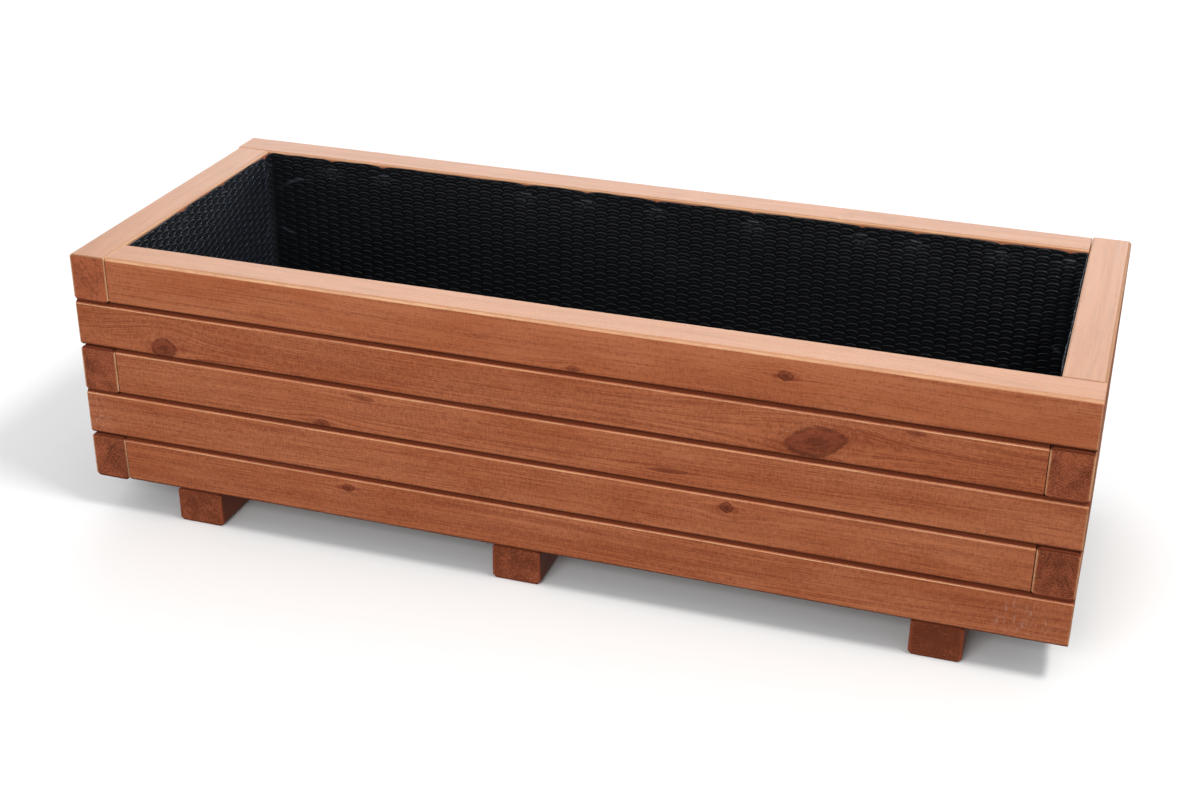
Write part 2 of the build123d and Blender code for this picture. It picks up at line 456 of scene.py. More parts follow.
    def bump(self, height, depth, strength=1.0, under=None):
        """A normal from a height, where 1 is depth metres high."""
        node = self.nodes.new("ShaderNodeBump")
        node.inputs["Strength"].default_value = strength
        node.inputs["Distance"].default_value = depth
        self.put(height, node.inputs["Height"])
        self.put(under, node.inputs["Normal"])
        return node.outputs["Normal"]

    def finish(self, base, roughness, normal=None, **plain):
        """Fills in the shader and returns the material. plain are values set on its own sockets."""
        self.put(base, self.shader.inputs["Base Color"])
        self.put(roughness, self.shader.inputs["Roughness"])
        self.put(normal, self.shader.inputs["Normal"])
        for name, value in plain.items():
            self.shader.inputs[name.replace("_", " ").title().replace("Ior", "IOR")].default_value = value
        return self.material


# ---- finishes -----------------------------------------------------------------------------------
# Colours that no setting changes, in linear light
SOAKED_PATCH = (0.88, 0.77, 0.69)    # multiplies the stain where more of it has soaked in
KNOT_FLAME = (0.24, 0.046, 0.016)    # the redder wood that tapers away from a knot
KNOT_RINGS = (0.25, 0.058, 0.026)    # the palest rings of a knot's heart
# painted sheen laid on the rim's up-facing faces
TOP_SHEEN_PAINT = (0.5, 0.36, 0.22)
SOAKED_END = (0.152, 0.033, 0.012)    # the darkest mottling of a cut end
CHALK = (0.75, 0.6, 0.52)    # pale strokes of a scuff
# painted shade on the bevels where one timber meets the next
GROOVE_SHADE_PAINT = (0.13, 0.024, 0.008)
SHEEN_TINT = (0.5, 0.62, 0.85, 1.0)

# How dark a year's ring is from its start to its end, as (place, darkness)
RING_STOPS = ((0.0, 0.05), (0.4, 0.12), (0.84, 1.0), (0.93, 0.8), (1.0, 0.05))
LENS_POWER = 1.6    # a knot's outline is x^p + y^p + z^p = 1 with this p, so it has two soft points
CHATTER_PITCH = 1.9 * MM    # planer marks, wave to wave
TIMBER_RELIEF = 0.13 * MM
FINE_RELIEF = 0.05 * MM


def knotted(f, stained, place, strength, reach, grit, knot, worn_and_lit):
    """Knots on stained wood: a red-brown heart with streaks, a broken dark rim, pale flecked arcs above.

    reach is the distance from the knot's middle, 1 at its rim. Returns the wood's colour with its
    knots, and the hearts' share and colour, because a heart shows on a cut end too.
    """
    height = f.split(place)[2]
    heart = f.times(f.step(reach, 1.05, 0.9), f.plus(f.times(strength, 0.6), 0.4))
    rim = f.times(f.step(reach, 0.8, 0.98), f.step(reach, 1.12, 1.02), strength)
    rim = f.times(rim, f.step(f.noise(place, scale=0.9, detail=1), 0.36, 0.6))
    streaky = f.centred(f.fibres(place, 1.6, 6.0, 3, 0.6))
    rings = f.times(f.sum("SINE", f.times(reach, 19.0)), 0.14)
    rings = f.heaped(f.plus(rings, 0.55), (grit, 1.2), (streaky, 2.2), (height, 0.3))
    heart_colour = f.mix(rings, toned(knot, 0.7), KNOT_RINGS)

    flame = f.plus(f.size(f.scaled(place, (0.42, 1.15, 1.15))), f.times(f.plus(grit, streaky), 1.3))
    stained = f.mix(f.times(f.step(flame, 1.1, 0.35), strength, 0.5), stained, KNOT_FLAME)
    stained = f.mix(f.times(heart, 0.85), stained, heart_colour)
    core = f.step(f.plus(reach, f.times(streaky, 0.9)), 0.6, 0.2)
    stained = f.mix(f.times(core, strength, 0.6), stained, toned(knot, 0.5))
    stained = f.mix(f.times(rim, 0.95), stained, toned(knot, 0.55))

    arcs = f.step(f.sum("SINE", f.plus(f.times(reach, 17.0), f.times(grit, 9.0))), 0.2, 0.9)
    arcs = f.times(arcs, f.step(f.specks(560.0, 3, 0.7), 0.5, 0.6))
    arcs = f.times(arcs, f.step(reach, 1.1, 1.25), f.step(reach, 2.0, 1.5))
    arcs = f.times(arcs, f.step(height, -0.2, 0.5), strength)
    return f.mix(f.times(arcs, 0.38), stained, worn_and_lit), heart, heart_colour


def cut_end(f, grain, late_line, speckle, tone, end):
    """Cut ends: mottled and saw-marked, with rings, fine rays and open checks. Returns colour and relief."""
    saw = f.centred(f.noise(f.scaled(f.place(), (330.0, 330.0, 1500.0)), 1.0, 3, 0.7))
    cloud = f.centred(f.specks(70.0, 5, 0.62))
    pores = f.centred(f.specks(800.0, 3, 0.75))
    mottles = ((saw, 1.5), (cloud, 1.7), (pores, 2.6), (f.centred(speckle), 1.6))
    dark_share = f.heaped(tone, (late_line, 0.34), *mottles)
    rays = f.noise(f.scaled(grain, (0.0, 45.0, 700.0)))
    rays = f.times(f.step(rays, 0.66, 0.72), f.step(f.specks(60.0), 0.5, 0.62))
    splits = f.noise(f.scaled(grain, (0.0, 30.0, 160.0)), 1.0, 3, 0.6)
    splits = f.step(f.sum("ABSOLUTE", f.centred(splits)), 0.004, 0.03, 0.6, 0.0)
    splits = f.times(splits, f.step(f.specks(26.0, 1), 0.52, 0.6))
    checks = f.sum("MAXIMUM", rays, splits)
    end_colour = f.mix(dark_share, toned(end, 1.08), SOAKED_END)
    end_colour = f.mix(f.times(checks, 0.7), end_colour, toned(end, 0.15))
    return end_colour, f.heaped(f.times(checks, -2.5), (f.plus(speckle, pores, saw), -1.8))


def timber_material(name, settings, early, late, end):
    """Stained softwood that follows the timber's own rings.

    The attribute grain holds the distance along the grain, the radius from the pith and the
    distance round it. Rings are the fraction of radius over ring spacing, with a slow rise to
    the dark late wood and a sharp fall after it. The attribute marks holds the pale share on the
    arrises, which is wear on the rim's outer arris and in joints and painted highlight elsewhere,
    1 on a cut end, and darkness; another attribute holds painted sheen on the rim's tops, painted
    shade in the groove between courses, and scuffs; knot holds the place from a knot.
    """
    f = Finish(name)
    grain, knot_place = f.attribute("grain"), f.attribute("knot")
    strength = f.attribute("knot_strength", "Fac")
    wear_and_highlight, cut, tone = f.split(f.attribute("marks"))
    sheen_mask, painted_groove_shade, scuff = f.split(f.attribute("sheen_shade_scuff"))

    # distance from the nearest knot, 1 at its rim: a pointed lens for its heart, a longer one for its tails
    grit = f.centred(f.specks(420.0, 4, 0.65))
    wobble = f.centred(f.noise(knot_place, scale=1.1))
    powers = [f.sum("POWER", f.sum("ABSOLUTE", part), LENS_POWER) for part in f.split(knot_place)]
    reach = f.heaped(f.sum("POWER", f.plus(*powers), 1 / LENS_POWER), (grit, 0.45), (wobble, 0.4))
    tails = f.plus(f.size(f.scaled(knot_place, (0.5, 0.8, 0.8))), f.times(wobble, 0.5))
    near = f.times(f.step(tails, 1.1, 0.4), strength)

    # rings
    rings = f.sum("DIVIDE", f.split(grain)[1], settings.ring_spacing)
    rings = f.plus(rings, f.times(f.fibres(grain, 2.5, 30.0), 1.3))
    late_line = f.curve(f.sum("FRACT", rings), RING_STOPS)
    late_share = f.times(late_line, f.plus(f.times(f.draw(f.sum("FLOOR", rings)), 0.8), 0.2))

    # fibres, from broad bands to single hairs
    bands = f.centred(f.fibres(grain, 1.1, 75.0))
    streaks = f.centred(f.fibres(grain, 2.4, 380.0, 3, 0.6))
    hairs = f.centred(f.fibres(grain, 11.0, 900.0, 3, 0.7))
    fuzz = f.centred(f.fibres(grain, 190.0, 750.0, 4, 0.75))
    ticks = f.centred(f.noise(f.scaled(f.place(), (600.0, 600.0, 170.0)), 1.0, 3, 0.7))
    dashes = f.step(f.fibres(grain, 55.0, 2100.0, 1), 0.67, 0.76)
    speckle = f.specks(1300.0, 3, 0.7)
    flecks = f.step(f.specks(520.0, 2, 0.8), 0.745, 0.8)
    patches = f.step(f.fibres(grain, 7.0, 26.0, 4, 0.62), 0.36, 0.66)
    blotches = f.centred(f.fibres(grain, 26.0, 60.0, 4, 0.65))

    dark_share = f.heaped(
        f.times(late_share, f.plus(f.times(near, 0.6), 0.52)),
        (bands, 0.5), (streaks, 1.0), (hairs, 2.3), (fuzz, 1.9), (ticks, 1.8), (f.centred(speckle), 0.9),
        (blotches, 0.4), (dashes, 0.3), (f.centred(tone), 0.8), (near, 0.22),
    )
    stained = f.mix(f.plus(dark_share, 0.26), early, late)
    stained = f.mix(patches, stained, SOAKED_PATCH, blend="MULTIPLY")
    stained = f.mix(f.times(flecks, 0.4), stained, settings.worn_and_lit)
    stained, heart, heart_colour = knotted(
        f, stained, knot_place, strength, reach, grit, settings.knot, settings.worn_and_lit
    )

    # painted sheen: the rim's up-facing faces are mixed towards a pale colour
    painted_sheen = f.mix(0.45, f.mix(0.4, stained, early), TOP_SHEEN_PAINT)
    stained = f.mix(f.times(sheen_mask, f.plus(f.times(fuzz, 1.2), 0.9)), stained, painted_sheen)

    end_colour, end_relief = cut_end(f, grain, late_line, speckle, tone, end)
    surface = f.mix(cut, stained, f.mix(f.times(heart, 0.6), end_colour, heart_colour))

    # pale wear and painted highlights on the arrises, pale scuffs, and painted shade in the groove between
    # two courses
    ragged = f.centred(f.fibres(grain, 70.0, 420.0, 5, 0.75))
    pale_arris = f.step(f.plus(wear_and_highlight, f.times(ragged, 0.9)), 0.3, 0.62)
    uneven = f.step(f.fibres(grain, 9.0, 20.0, 3, 0.6), 0.35, 0.65, 0.45, 1.05)
    surface = f.mix(f.times(pale_arris, f.plus(f.times(wear_and_highlight, 0.5), 0.3), uneven), surface, settings.worn_and_lit)
    strokes = f.step(f.noise(f.scaled(f.place(), (620.0, 620.0, 190.0)), 1.0, 4, 0.75), 0.5, 0.72)
    surface = f.mix(f.times(scuff, strokes, 0.42), surface, CHALK)
    # painted shade: the bevels where two timbers meet are darkened
    shaded_groove = f.step(f.plus(painted_groove_shade, f.times(ragged, 0.16)), 0.34, 0.46)
    surface = f.mix(f.times(shaded_groove, 0.92), surface, GROOVE_SHADE_PAINT)

    chatter = f.sum("SINE", f.times(f.split(f.place())[0], 2 * math.pi / CHATTER_PITCH))
    relief = f.heaped(
        f.times(late_share, 0.35), (streaks, 1.2), (hairs, 1.3), (fuzz, 0.9), (ticks, 0.9),
        (dashes, -0.7), (chatter, 0.14), (near, 0.3),
    )
    relief = f.plus(f.times(relief, f.less(1.0, cut)), f.times(end_relief, cut))
    roughness = f.heaped(f.plus(f.times(streaks, 0.2), 0.44), (cut, 0.3), (shaded_groove, 0.5))
    return f.finish(surface, roughness, f.bump(relief, TIMBER_RELIEF, 0.9), specular_ior_level=0.4)


def film_material(settings):
    """Black embossed film, matt along its cut edge.

    The attribute film holds the place round the walls, the height, and 1 on the cut edge. On the
    floor it is the point's own place, whose height is too small to matter as a cut edge. The pads
    of the relief are ovals in staggered columns, the nearer of two rectangular lattices.
    """
    f = Finish("embossed_film")
    along, height, cut_edge = f.split(f.attribute("film"))

    def pads(shift):
        """Relief of the pads of one lattice, each crossed by its crease."""
        columns = f.plus(f.sum("DIVIDE", along, 2 * settings.pad_pitch), shift)
        rows = f.plus(f.sum("DIVIDE", height, settings.pad_rise), shift)
        x = f.times(f.centred(f.sum("FRACT", columns)), 2 * settings.pad_pitch / PAD_HALF_WIDTH)
        y = f.times(f.centred(f.sum("FRACT", rows)), settings.pad_rise / PAD_HALF_RISE)
        bend = f.plus(y, f.times(x, x, PAD_BEND), PAD_CREASE_DROP)
        crease = f.step(f.sum("ABSOLUTE", bend), PAD_CREASE_HALF, 0.0)
        flat = f.step(f.size(f.join(x, y)), 1.06, 0.85)
        return f.times(flat, f.less(1.0, f.times(crease, PAD_CREASE)))

    pad = f.sum("MAXIMUM", pads(0.5), pads(0.0))
    dust = f.specks(55.0, 4, 0.65)
    fine = f.specks(2600.0, 2, 0.6)
    base = f.mix(f.times(f.step(dust, 0.45, 0.8), 0.35), settings.film, toned(settings.film, 2.2))
    base = f.mix(f.times(f.attribute("stress", "Fac"), f.step(fine, 0.3, 0.6)), base, settings.stress)
    normal = f.bump(pad, PRINTED_SHARE * settings.pad_height)
    normal = f.bump(fine, FINE_RELIEF, 0.35, normal)
    roughness = f.heaped(f.step(pad, 0.0, 1.0, 0.3, 0.22), (dust, 0.16), (cut_edge, 0.6))
    return f.finish(
        base, roughness, normal, specular_ior_level=0.55,
        sheen_weight=0.65, sheen_roughness=0.25, sheen_tint=SHEEN_TINT,
    )


def wire_material(name, tint, roughness):
    """Plated wire or screw steel, with fine drawing marks and dull patches."""
    f = Finish(name)
    marks = f.specks(900.0, 3, 0.6)
    patches = f.specks(160.0, 3, 0.6)
    base = f.mix(f.step(patches, 0.35, 0.7), tint, toned(tint, 0.55))
    rough = f.plus(f.times(patches, 0.25), roughness)
    return f.finish(base, rough, f.bump(marks, FINE_RELIEF, 0.4), metallic=0.9)


def floor_material(settings):
    """Matt pale floor with the faintest mottling."""
    f = Finish("pale_floor")
    mottle = f.specks(3.0, 3)
    base = f.mix(f.times(mottle, 0.04), settings.floor, toned(settings.floor, 0.93))
    return f.finish(base, f.plus(f.times(mottle, 0.1), 0.7), specular_ior_level=0.2)


# ---- timbers ------------------------------------------------------------------------------------
STATION_STEP = 3.2 * MM    # along a plain timber
KNOT_STEP = 1.3 * MM    # along the middle of a knot
END_STATIONS = (1.2 * MM, 2.4 * MM)    # two more stations behind each saw chamfer
EVEN_FROM = 4.0 * MM    # the even stations keep this far from the ends
FLAT_STEP = 2.9 * MM    # across a face
EDGE_STEP = 0.5 * MM    # from a bevel to the face's first point
BEVEL_POWER = 1.2
BEVEL_STEPS = 6
BEVEL_MIDDLE = 0.44    # a bevel's middle is this many bevels in from the corner
CAP_LOOPS = 8
SHARP_ANGLE = math.radians(35)
KNOT_REACH = 2.2    # a knot marks the wood as far as this many of its half sizes
FAR = 9.0    # stands for a place out of every knot's reach
PITH_FACE = 22 * MM    # largest distance of the pith from a timber's middle, across it
PITH_BELOW = (38 * MM, 95 * MM)    # and above or below it

# How strongly the pale colour is laid on, from 0 to 1, and the rim's own sharper bevels. It is wear on the
# rim's outer arris and in joints, and painted highlight along the upper arrises of rails and bearers, inside
# the rim and round bare cut ends.
RIM_OUTER_BEVEL, RIM_INNER_BEVEL = 2.7 * MM, 1.6 * MM
# upper arrises: wear on the rim; a painted highlight line down the upper bevel of each rail and bearer
RIM_WEAR, RAIL_HIGHLIGHT, BEARER_HIGHLIGHT = 0.54, 0.72, 0.2    # upper arrises
# a painted highlight on the inside of the rim: its strength, and how many bevels down it reaches
INNER_RIM_HIGHLIGHT = 0.7
INNER_HIGHLIGHT_DEPTH = 2.6    # the rim is worn inside down to this many bevels
# on a cut end in a joint this is wear; round a cut end in the open it is a painted highlight
BUTT_WEAR, BARE_END_HIGHLIGHT = 0.14, 0.75    # edges of a rail's cut end, in a joint and in the open


def bevelled_outline(half_a, half_b, bevels, flat_step):
    """Closed outline of a rectangle with bevelled corners, in the plane of a timber's section.

    A corner is a quarter of the curve x^p + y^p = bevel^p, where p is BEVEL_POWER: a bevel whose
    two edges are eased. Evenly spaced points run between the corners, with one more close to each
    end. Returns the points, their outward normals, their distance from each corner's middle and
    the bevel of the corner in their own quarter.
    """
    points, normals = [], []
    corners = [(1, -1, -90), (1, 1, 0), (-1, 1, 90), (-1, -1, 180)]
    turns = np.radians(np.linspace(0, 90, BEVEL_STEPS + 1))[:, None]
    first, second = np.cos(turns) ** (2 / BEVEL_POWER), np.abs(np.sin(turns)) ** (2 / BEVEL_POWER)

    def curve(corner):
        """The points of one corner and their normals."""
        side_a, side_b, start = corners[corner % 4]
        bevel = bevels[corner % 4]
        ahead = np.array([math.cos(math.radians(start)), math.sin(math.radians(start))])
        aside = np.array([-ahead[1], ahead[0]])
        centre = np.array([side_a * (half_a - bevel), side_b * (half_b - bevel)])
        slope = np.abs(first) ** (BEVEL_POWER - 1) * ahead + second ** (BEVEL_POWER - 1) * aside
        slope /= np.linalg.norm(slope, axis=1)[:, None]
        return centre + bevel * (first * ahead + second * aside), slope

    for corner in range(4):
        bend, bend_normals = curve(corner)
        end = curve(corner + 1)[0][0]
        run = float(np.linalg.norm(end - bend[-1]))
        even = np.linspace(0, 1, max(2, round(run / flat_step)) + 1)[1:-1]
        shares = np.concatenate([[EDGE_STEP / run], even, [1 - EDGE_STEP / run]])[:, None]
        points += [bend, bend[-1] + shares * (end - bend[-1])]
        normals += [bend_normals, np.repeat(bend_normals[-1:], len(shares), axis=0)]
    points, normals = np.concatenate(points), np.concatenate(normals)
    middles = np.array([
        [a * (half_a - BEVEL_MIDDLE * bevel), b * (half_b - BEVEL_MIDDLE * bevel)]
        for (a, b, _start), bevel in zip(corners, bevels)
    ])
    quarter = np.where(points[:, 0] > 0, np.where(points[:, 1] > 0, 1, 0), np.where(points[:, 1] > 0, 2, 3))
    return points, normals, np.linalg.norm(points[:, None] - middles[None], axis=2), np.array(bevels)[quarter]


def stations(start, end, chamfer, knots):
    """Distances along a timber, close together at both ends and where there are knots."""
    near = np.array([0, chamfer, *END_STATIONS])
    fine = np.linspace(start + EVEN_FROM, end - EVEN_FROM, 4000)
    closeness = sum((bell(fine - knot.u, knot.length) for knot in knots), np.zeros(len(fine)))
    step = STATION_STEP - (STATION_STEP - KNOT_STEP) * np.clip(closeness, 0, 1)
    count = np.concatenate([[0.0], np.cumsum(np.diff(fine) / step[1:])])
    middle = np.interp(np.linspace(0, count[-1], round(count[-1]) + 1), count, fine)
    return np.concatenate([start + near, middle, (end - near)[::-1]])


def grain_field(u, a, b, knots, rng):
    """The grain attribute at places u along, a across and b up a timber.

    The radius is the distance from a pith that drifts slowly along the timber, measured after
    each knot has drawn the wood around it together, so that the rings flow round the knot.
    """
    along = u - u.min()
    pith_a = rng.uniform(-PITH_FACE, PITH_FACE) + rng.uniform(-0.008, 0.008) * along
    pith_b = rng.choice([-1, 1]) * rng.uniform(*PITH_BELOW) + rng.uniform(-0.008, 0.008) * along
    pith_a = pith_a + 1.6 * MM * ripple(u, 0.5, rng)
    pith_b = pith_b + 1.6 * MM * ripple(u, 0.5, rng)
    for knot in knots:
        near = ((u - knot.u) / (1.9 * knot.length)) ** 2
        near = near + ((a - knot.a) / (1.25 * knot.width)) ** 2 + ((b - knot.b) / (1.25 * knot.width)) ** 2
        pull = 0.88 * np.exp(-near)
        a = knot.a + (a - knot.a) * (1 - pull)
        b = knot.b + (b - knot.b) * (1 - pull)
    radius = np.hypot(a - pith_a, b - pith_b)
    angle = np.arctan2(b - pith_b, a - pith_a)
    offset = rng.uniform(0, 40)
    return np.stack([along + offset, radius + rng.uniform(0, 0.2), angle * 50 * MM + offset], axis=-1)


PlacedKnot = namedtuple("PlacedKnot", "u a b length width turn strength")


def place_knots(knots, start, half_a, half_b, outer_side):
    """Knots in the timber's own directions: along, across and up."""
    sides = {
        "outer": (outer_side * half_a, None), "inner": (-outer_side * half_a, None),
        "top": (None, half_b), "bottom": (None, -half_b),
    }
    placed = []
    for knot in knots:
        a, b = sides[knot.face]
        a = knot.across if a is None else a
        b = knot.across if b is None else b
        placed.append(PlacedKnot(start + knot.along, a, b, knot.length, knot.width, knot.turn, knot.strength))
    return placed


def knot_fields(u, a, b, knots):
    """Attributes knot and knot_strength: the place from the nearest knot, in half sizes of the knot.

    Points that are far from every knot, or about as far from two, are put far away.
    """
    nearest = np.full((*u.shape, 3), FAR)
    strength = np.zeros(u.shape)
    best, second = np.full(u.shape, FAR), np.full(u.shape, FAR)
    for knot in knots:
        turn = math.radians(knot.turn)
        along = (u - knot.u) * math.cos(turn) + (b - knot.b) * math.sin(turn)
        up = (b - knot.b) * math.cos(turn) - (u - knot.u) * math.sin(turn)
        parts = [2 * along / knot.length, 2 * (a - knot.a) / knot.width, 2 * up / knot.width]
        place = np.stack(parts, axis=-1)
        reach = np.linalg.norm(place, axis=-1)
        closer = reach < best
        second = np.where(closer, best, np.minimum(second, reach))
        nearest[closer], best[closer], strength[closer] = place[closer], reach[closer], knot.strength
    nearest[(best > KNOT_REACH) | (second - best < 0.5)] = FAR
    return nearest, strength


def random_knots(length, faces, rng):
    """A few small knots for a timber whose knots aren't named."""
    count = int(rng.integers(1, 4)) if length > 0.5 else int(rng.integers(0, 2))
    return [
        Knot(
            rng.uniform(0.12, 0.88) * length, rng.choice(faces), rng.uniform(-14, 14) * MM,
            rng.uniform(10, 28) * MM, rng.uniform(8, 17) * MM, rng.uniform(-12, 12), rng.uniform(0.5, 0.9),
        )
        for _count in range(count)
    ]


def hand_planed(u, normals, to_arris, length, settings, rng):
    """How far each point of a timber's side moves along its normal.

    Slow waves bend and turn the timber a little, short dents press in its arrises, and its first
    and last outlines are drawn in by the saw chamfer.
    """
    side_angle = np.arctan2(normals[:, 1], normals[:, 0])
    push = np.zeros((len(u), len(normals)))
    for _swing in range(3):
        sideways = np.cos(side_angle + rng.uniform(0, 2 * math.pi))
        push += settings.wander * 0.6 * ripple(u, 0.34, rng)[:, None] * sideways[None]
    push += 0.12 * settings.wander * ripple(u, 0.03, rng)[:, None]
    for _dent in range(int(18 * length) + 3):
        corner = int(rng.integers(0, 4))
        size = rng.uniform(0.8, 4.5) * MM
        depth = settings.dent * rng.uniform(0.2, 1.0) ** 2
        along = bell(u - rng.uniform(u[0], u[-1]), size)
        push -= depth * along[:, None] * bell(to_arris[:, corner], 1.1 * MM + 0.4 * size)[None]
    push[[0, -1]] -= settings.saw_chamfer
    return push


def capped_faces(rows, columns):
    """Quads and triangles of a tube of rows outlines, closed at both ends.

    The points are the tube's, the first cap's loops, the last cap's loops and the two middles. A
    cap's loops follow the end outline inwards, and a fan joins the innermost to the middle.
    """
    cap_points = (CAP_LOOPS - 1) * columns
    first_cap = rows * columns
    middle = first_cap + 2 * cap_points
    quads, triangles = [grid_faces(rows, columns, closed=True)], []
    for end, rim in ((0, 0), (1, (rows - 1) * columns)):
        start = first_cap + end * cap_points
        index = np.concatenate([np.arange(rim, rim + columns), np.arange(start, start + cap_points)])
        faces = index[grid_faces(CAP_LOOPS, columns, closed=True)]
        inner = index[-columns:]
        fan = np.stack([inner, np.roll(inner, -1), np.full(columns, middle + end)], axis=1)
        quads.append(faces if end else faces[:, ::-1])
        triangles.append(fan if end else fan[:, ::-1])
    return np.concatenate(quads), np.concatenate(triangles)


def pale_arrises_and_groove_shade(node, outline, depth, outer_side, u, gaps):
    """How pale a timber's side is at each station and point of its section, and where shade is painted on it.

    depth is the distance below the flat top or above the flat bottom, in bevels. The pale colour is
    a painted highlight line down each upper bevel of a rail or bearer, wear on the rim's outer arris
    and a painted highlight inside it, and a band round each cut end that is as wide as it is strong:
    wear in a joint, a painted highlight in the open. Painted shade lies on the bevels, where one
    timber meets the next.
    """
    is_rim, is_rail = node in RIM, "rail" in node
    upper = outline[:, 1] > 0
    if is_rim:
        inside = outline[:, 0] * outer_side < 0
        worn_to = np.where(inside, INNER_HIGHLIGHT_DEPTH, 1.0)
        line = smooth_step(depth, -0.01, 0.5) * (1 - smooth_step(depth / worn_to, 0.94, 1.05))
        line = line * np.where(inside, INNER_RIM_HIGHLIGHT, RIM_WEAR)
    else:
        line = bell(depth - 0.92, 0.17) * (RAIL_HIGHLIGHT if is_rail else BEARER_HIGHLIGHT)
    bare_highlight = BARE_END_HIGHLIGHT if is_rail else BEARER_HIGHLIGHT
    ends = []
    for gap, offset in zip(gaps, (u - u[0], u[-1] - u)):
        worn_and_lit = BUTT_WEAR if gap else bare_highlight
        ends.append(worn_and_lit * bell(offset, 2 * worn_and_lit * MM))
    wear_and_highlight = np.maximum(line * upper, np.maximum(*ends)[:, None] * (depth > 0.7))
    return wear_and_highlight, np.clip(1 - depth, 0, 1) * (~upper if is_rim else 1.0)


def build_timber(node, settings, seed, gaps=(0.0, 0.0), lift=0.0):
    """A planed timber in the place of a CAD node, as one closed surface.

    Its point is the outline of the section at an angle step, carried to a station along the
    timber and moved along the outline's normal by slow waves, dents in the arrises and the faint
    swelling at knots. The ends are loops of the outline drawn in to the middle. gaps shorten its
    low and high ends, and lift raises the underside a little, to bare the heads of the screws.
    """
    rng = np.random.default_rng(seed)
    low, high = (np.array(corner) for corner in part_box(node))
    extent = high - low
    axis = 0 if extent[0] > extent[1] else 1
    across = 1 - axis
    centre = (low + high) / 2
    half_a, half_b = extent[across] / 2, extent[2] / 2
    outer_side = 1.0 if centre[across] > 0 else -1.0
    knots = KNOTS.get(node) or random_knots(extent[axis], ("outer", "inner"), rng)
    knots = place_knots(knots, low[axis], half_a, half_b, outer_side)

    top_bevels = [settings.bevel, settings.bevel]
    if node in RIM:
        top_bevels = [RIM_OUTER_BEVEL, RIM_INNER_BEVEL][::int(outer_side)]
    bevels = [settings.bevel, *top_bevels, settings.bevel]
    outline, normals, to_arris, own_bevel = bevelled_outline(half_a, half_b, bevels, FLAT_STEP)
    u = stations(low[axis] + gaps[0], high[axis] - gaps[1], settings.saw_chamfer, knots)
    rows, columns = len(u), len(outline)

    push = hand_planed(u, normals, to_arris, extent[axis], settings, rng)
    side = outline[None] + push[..., None] * normals[None]
    side_u = np.repeat(u[:, None], columns, axis=1)
    knot_place, knot_strength = knot_fields(side_u, side[..., 0], side[..., 1], knots)
    swelling = 0.25 * MM * knot_strength * bell(np.linalg.norm(knot_place, axis=-1), 1.3)
    side = side + swelling[..., None] * normals[None]

    # the ends: loops that shrink to a middle point
    shrink = 1 - np.arange(1, CAP_LOOPS) / CAP_LOOPS
    loops = [(side[end][None] * shrink[:, None, None]).reshape(-1, 2) for end in (0, -1)]
    section = np.concatenate([side.reshape(-1, 2), *loops, np.zeros((2, 2))])
    caps_u = [np.full(len(loops[0]), u[end]) for end in (0, -1)]
    places_u = np.concatenate([side_u.ravel(), *caps_u, u[[0, -1]]])

    points = np.zeros((len(section), 3))
    points[:, axis] = places_u
    points[:, across] = centre[across] + section[:, 0]
    underside = section[:, 1] < -half_b + 0.5 * settings.bevel
    points[:, 2] = centre[2] + section[:, 1] + np.where(underside, lift, 0.0)
    quads, triangles = outward(points - centre, *capped_faces(rows, columns))
    piece = make_piece(f"{node}_timber", points, quads, triangles, sharp_angle=SHARP_ANGLE)

    def over_side(values):
        """A value for each point, from values for the stations and the section, and 0 on the cut ends."""
        spread = np.zeros(len(points))
        spread[:rows * columns] = np.broadcast_to(values, (rows, columns)).ravel()
        return spread

    depth = (half_b - np.abs(outline[:, 1])) / own_bevel
    # the pale share on the arrises, partly wear and partly painted highlight, and painted shade on the bevels
    # where timbers meet
    wear_and_highlight, groove_shade_mask = pale_arrises_and_groove_shade(node, outline, depth, outer_side, u, gaps)
    on_cut = 1 - over_side(1.0)
    # painted sheen: the rim's up-facing faces are made paler
    painted_sheen = smooth_step(normals[:, 1], 0.3, 0.7) if node in RIM else 0.0
    scuff = np.zeros(len(points))
    for mark in SCUFFS.get(node, []):
        offset_u = (places_u - low[axis] - mark.along) / mark.length
        offset_b = (section[:, 1] - mark.across) / mark.height
        scuff = np.maximum(scuff, np.exp(-2 * (offset_u**2 + offset_b**2)))
    face_tone, end_tone = TONES.get(node, (rng.uniform(0.35, 0.65), rng.uniform(0.2, 0.7)))
    tone = np.where(on_cut > 0, end_tone, face_tone)
    set_vectors(piece, "grain", grain_field(places_u, section[:, 0], section[:, 1], knots, rng))
    set_vectors(piece, "marks", np.stack([over_side(wear_and_highlight), on_cut, tone], axis=1))
    set_vectors(piece, "sheen_shade_scuff", np.stack([over_side(painted_sheen), over_side(groove_shade_mask), scuff], axis=1))
    place, strength = knot_fields(places_u, section[:, 0], section[:, 1], knots)
    set_vectors(piece, "knot", place)
    set_numbers(piece, "knot_strength", strength)
    return piece


def butting_ends(node, gap):
    """Gaps at the low and high ends of a rail: a rail that stops short of the trough's end butts there."""
    low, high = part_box(node)
    axis = 0 if high.x - low.x > high.y - low.y else 1
    whole_low, whole_high = CAD_BOX
    low_gap = gap if low[axis] > whole_low[axis] + gap else 0.0
    high_gap = gap if high[axis] < whole_high[axis] - gap else 0.0
    return low_gap, high_gap


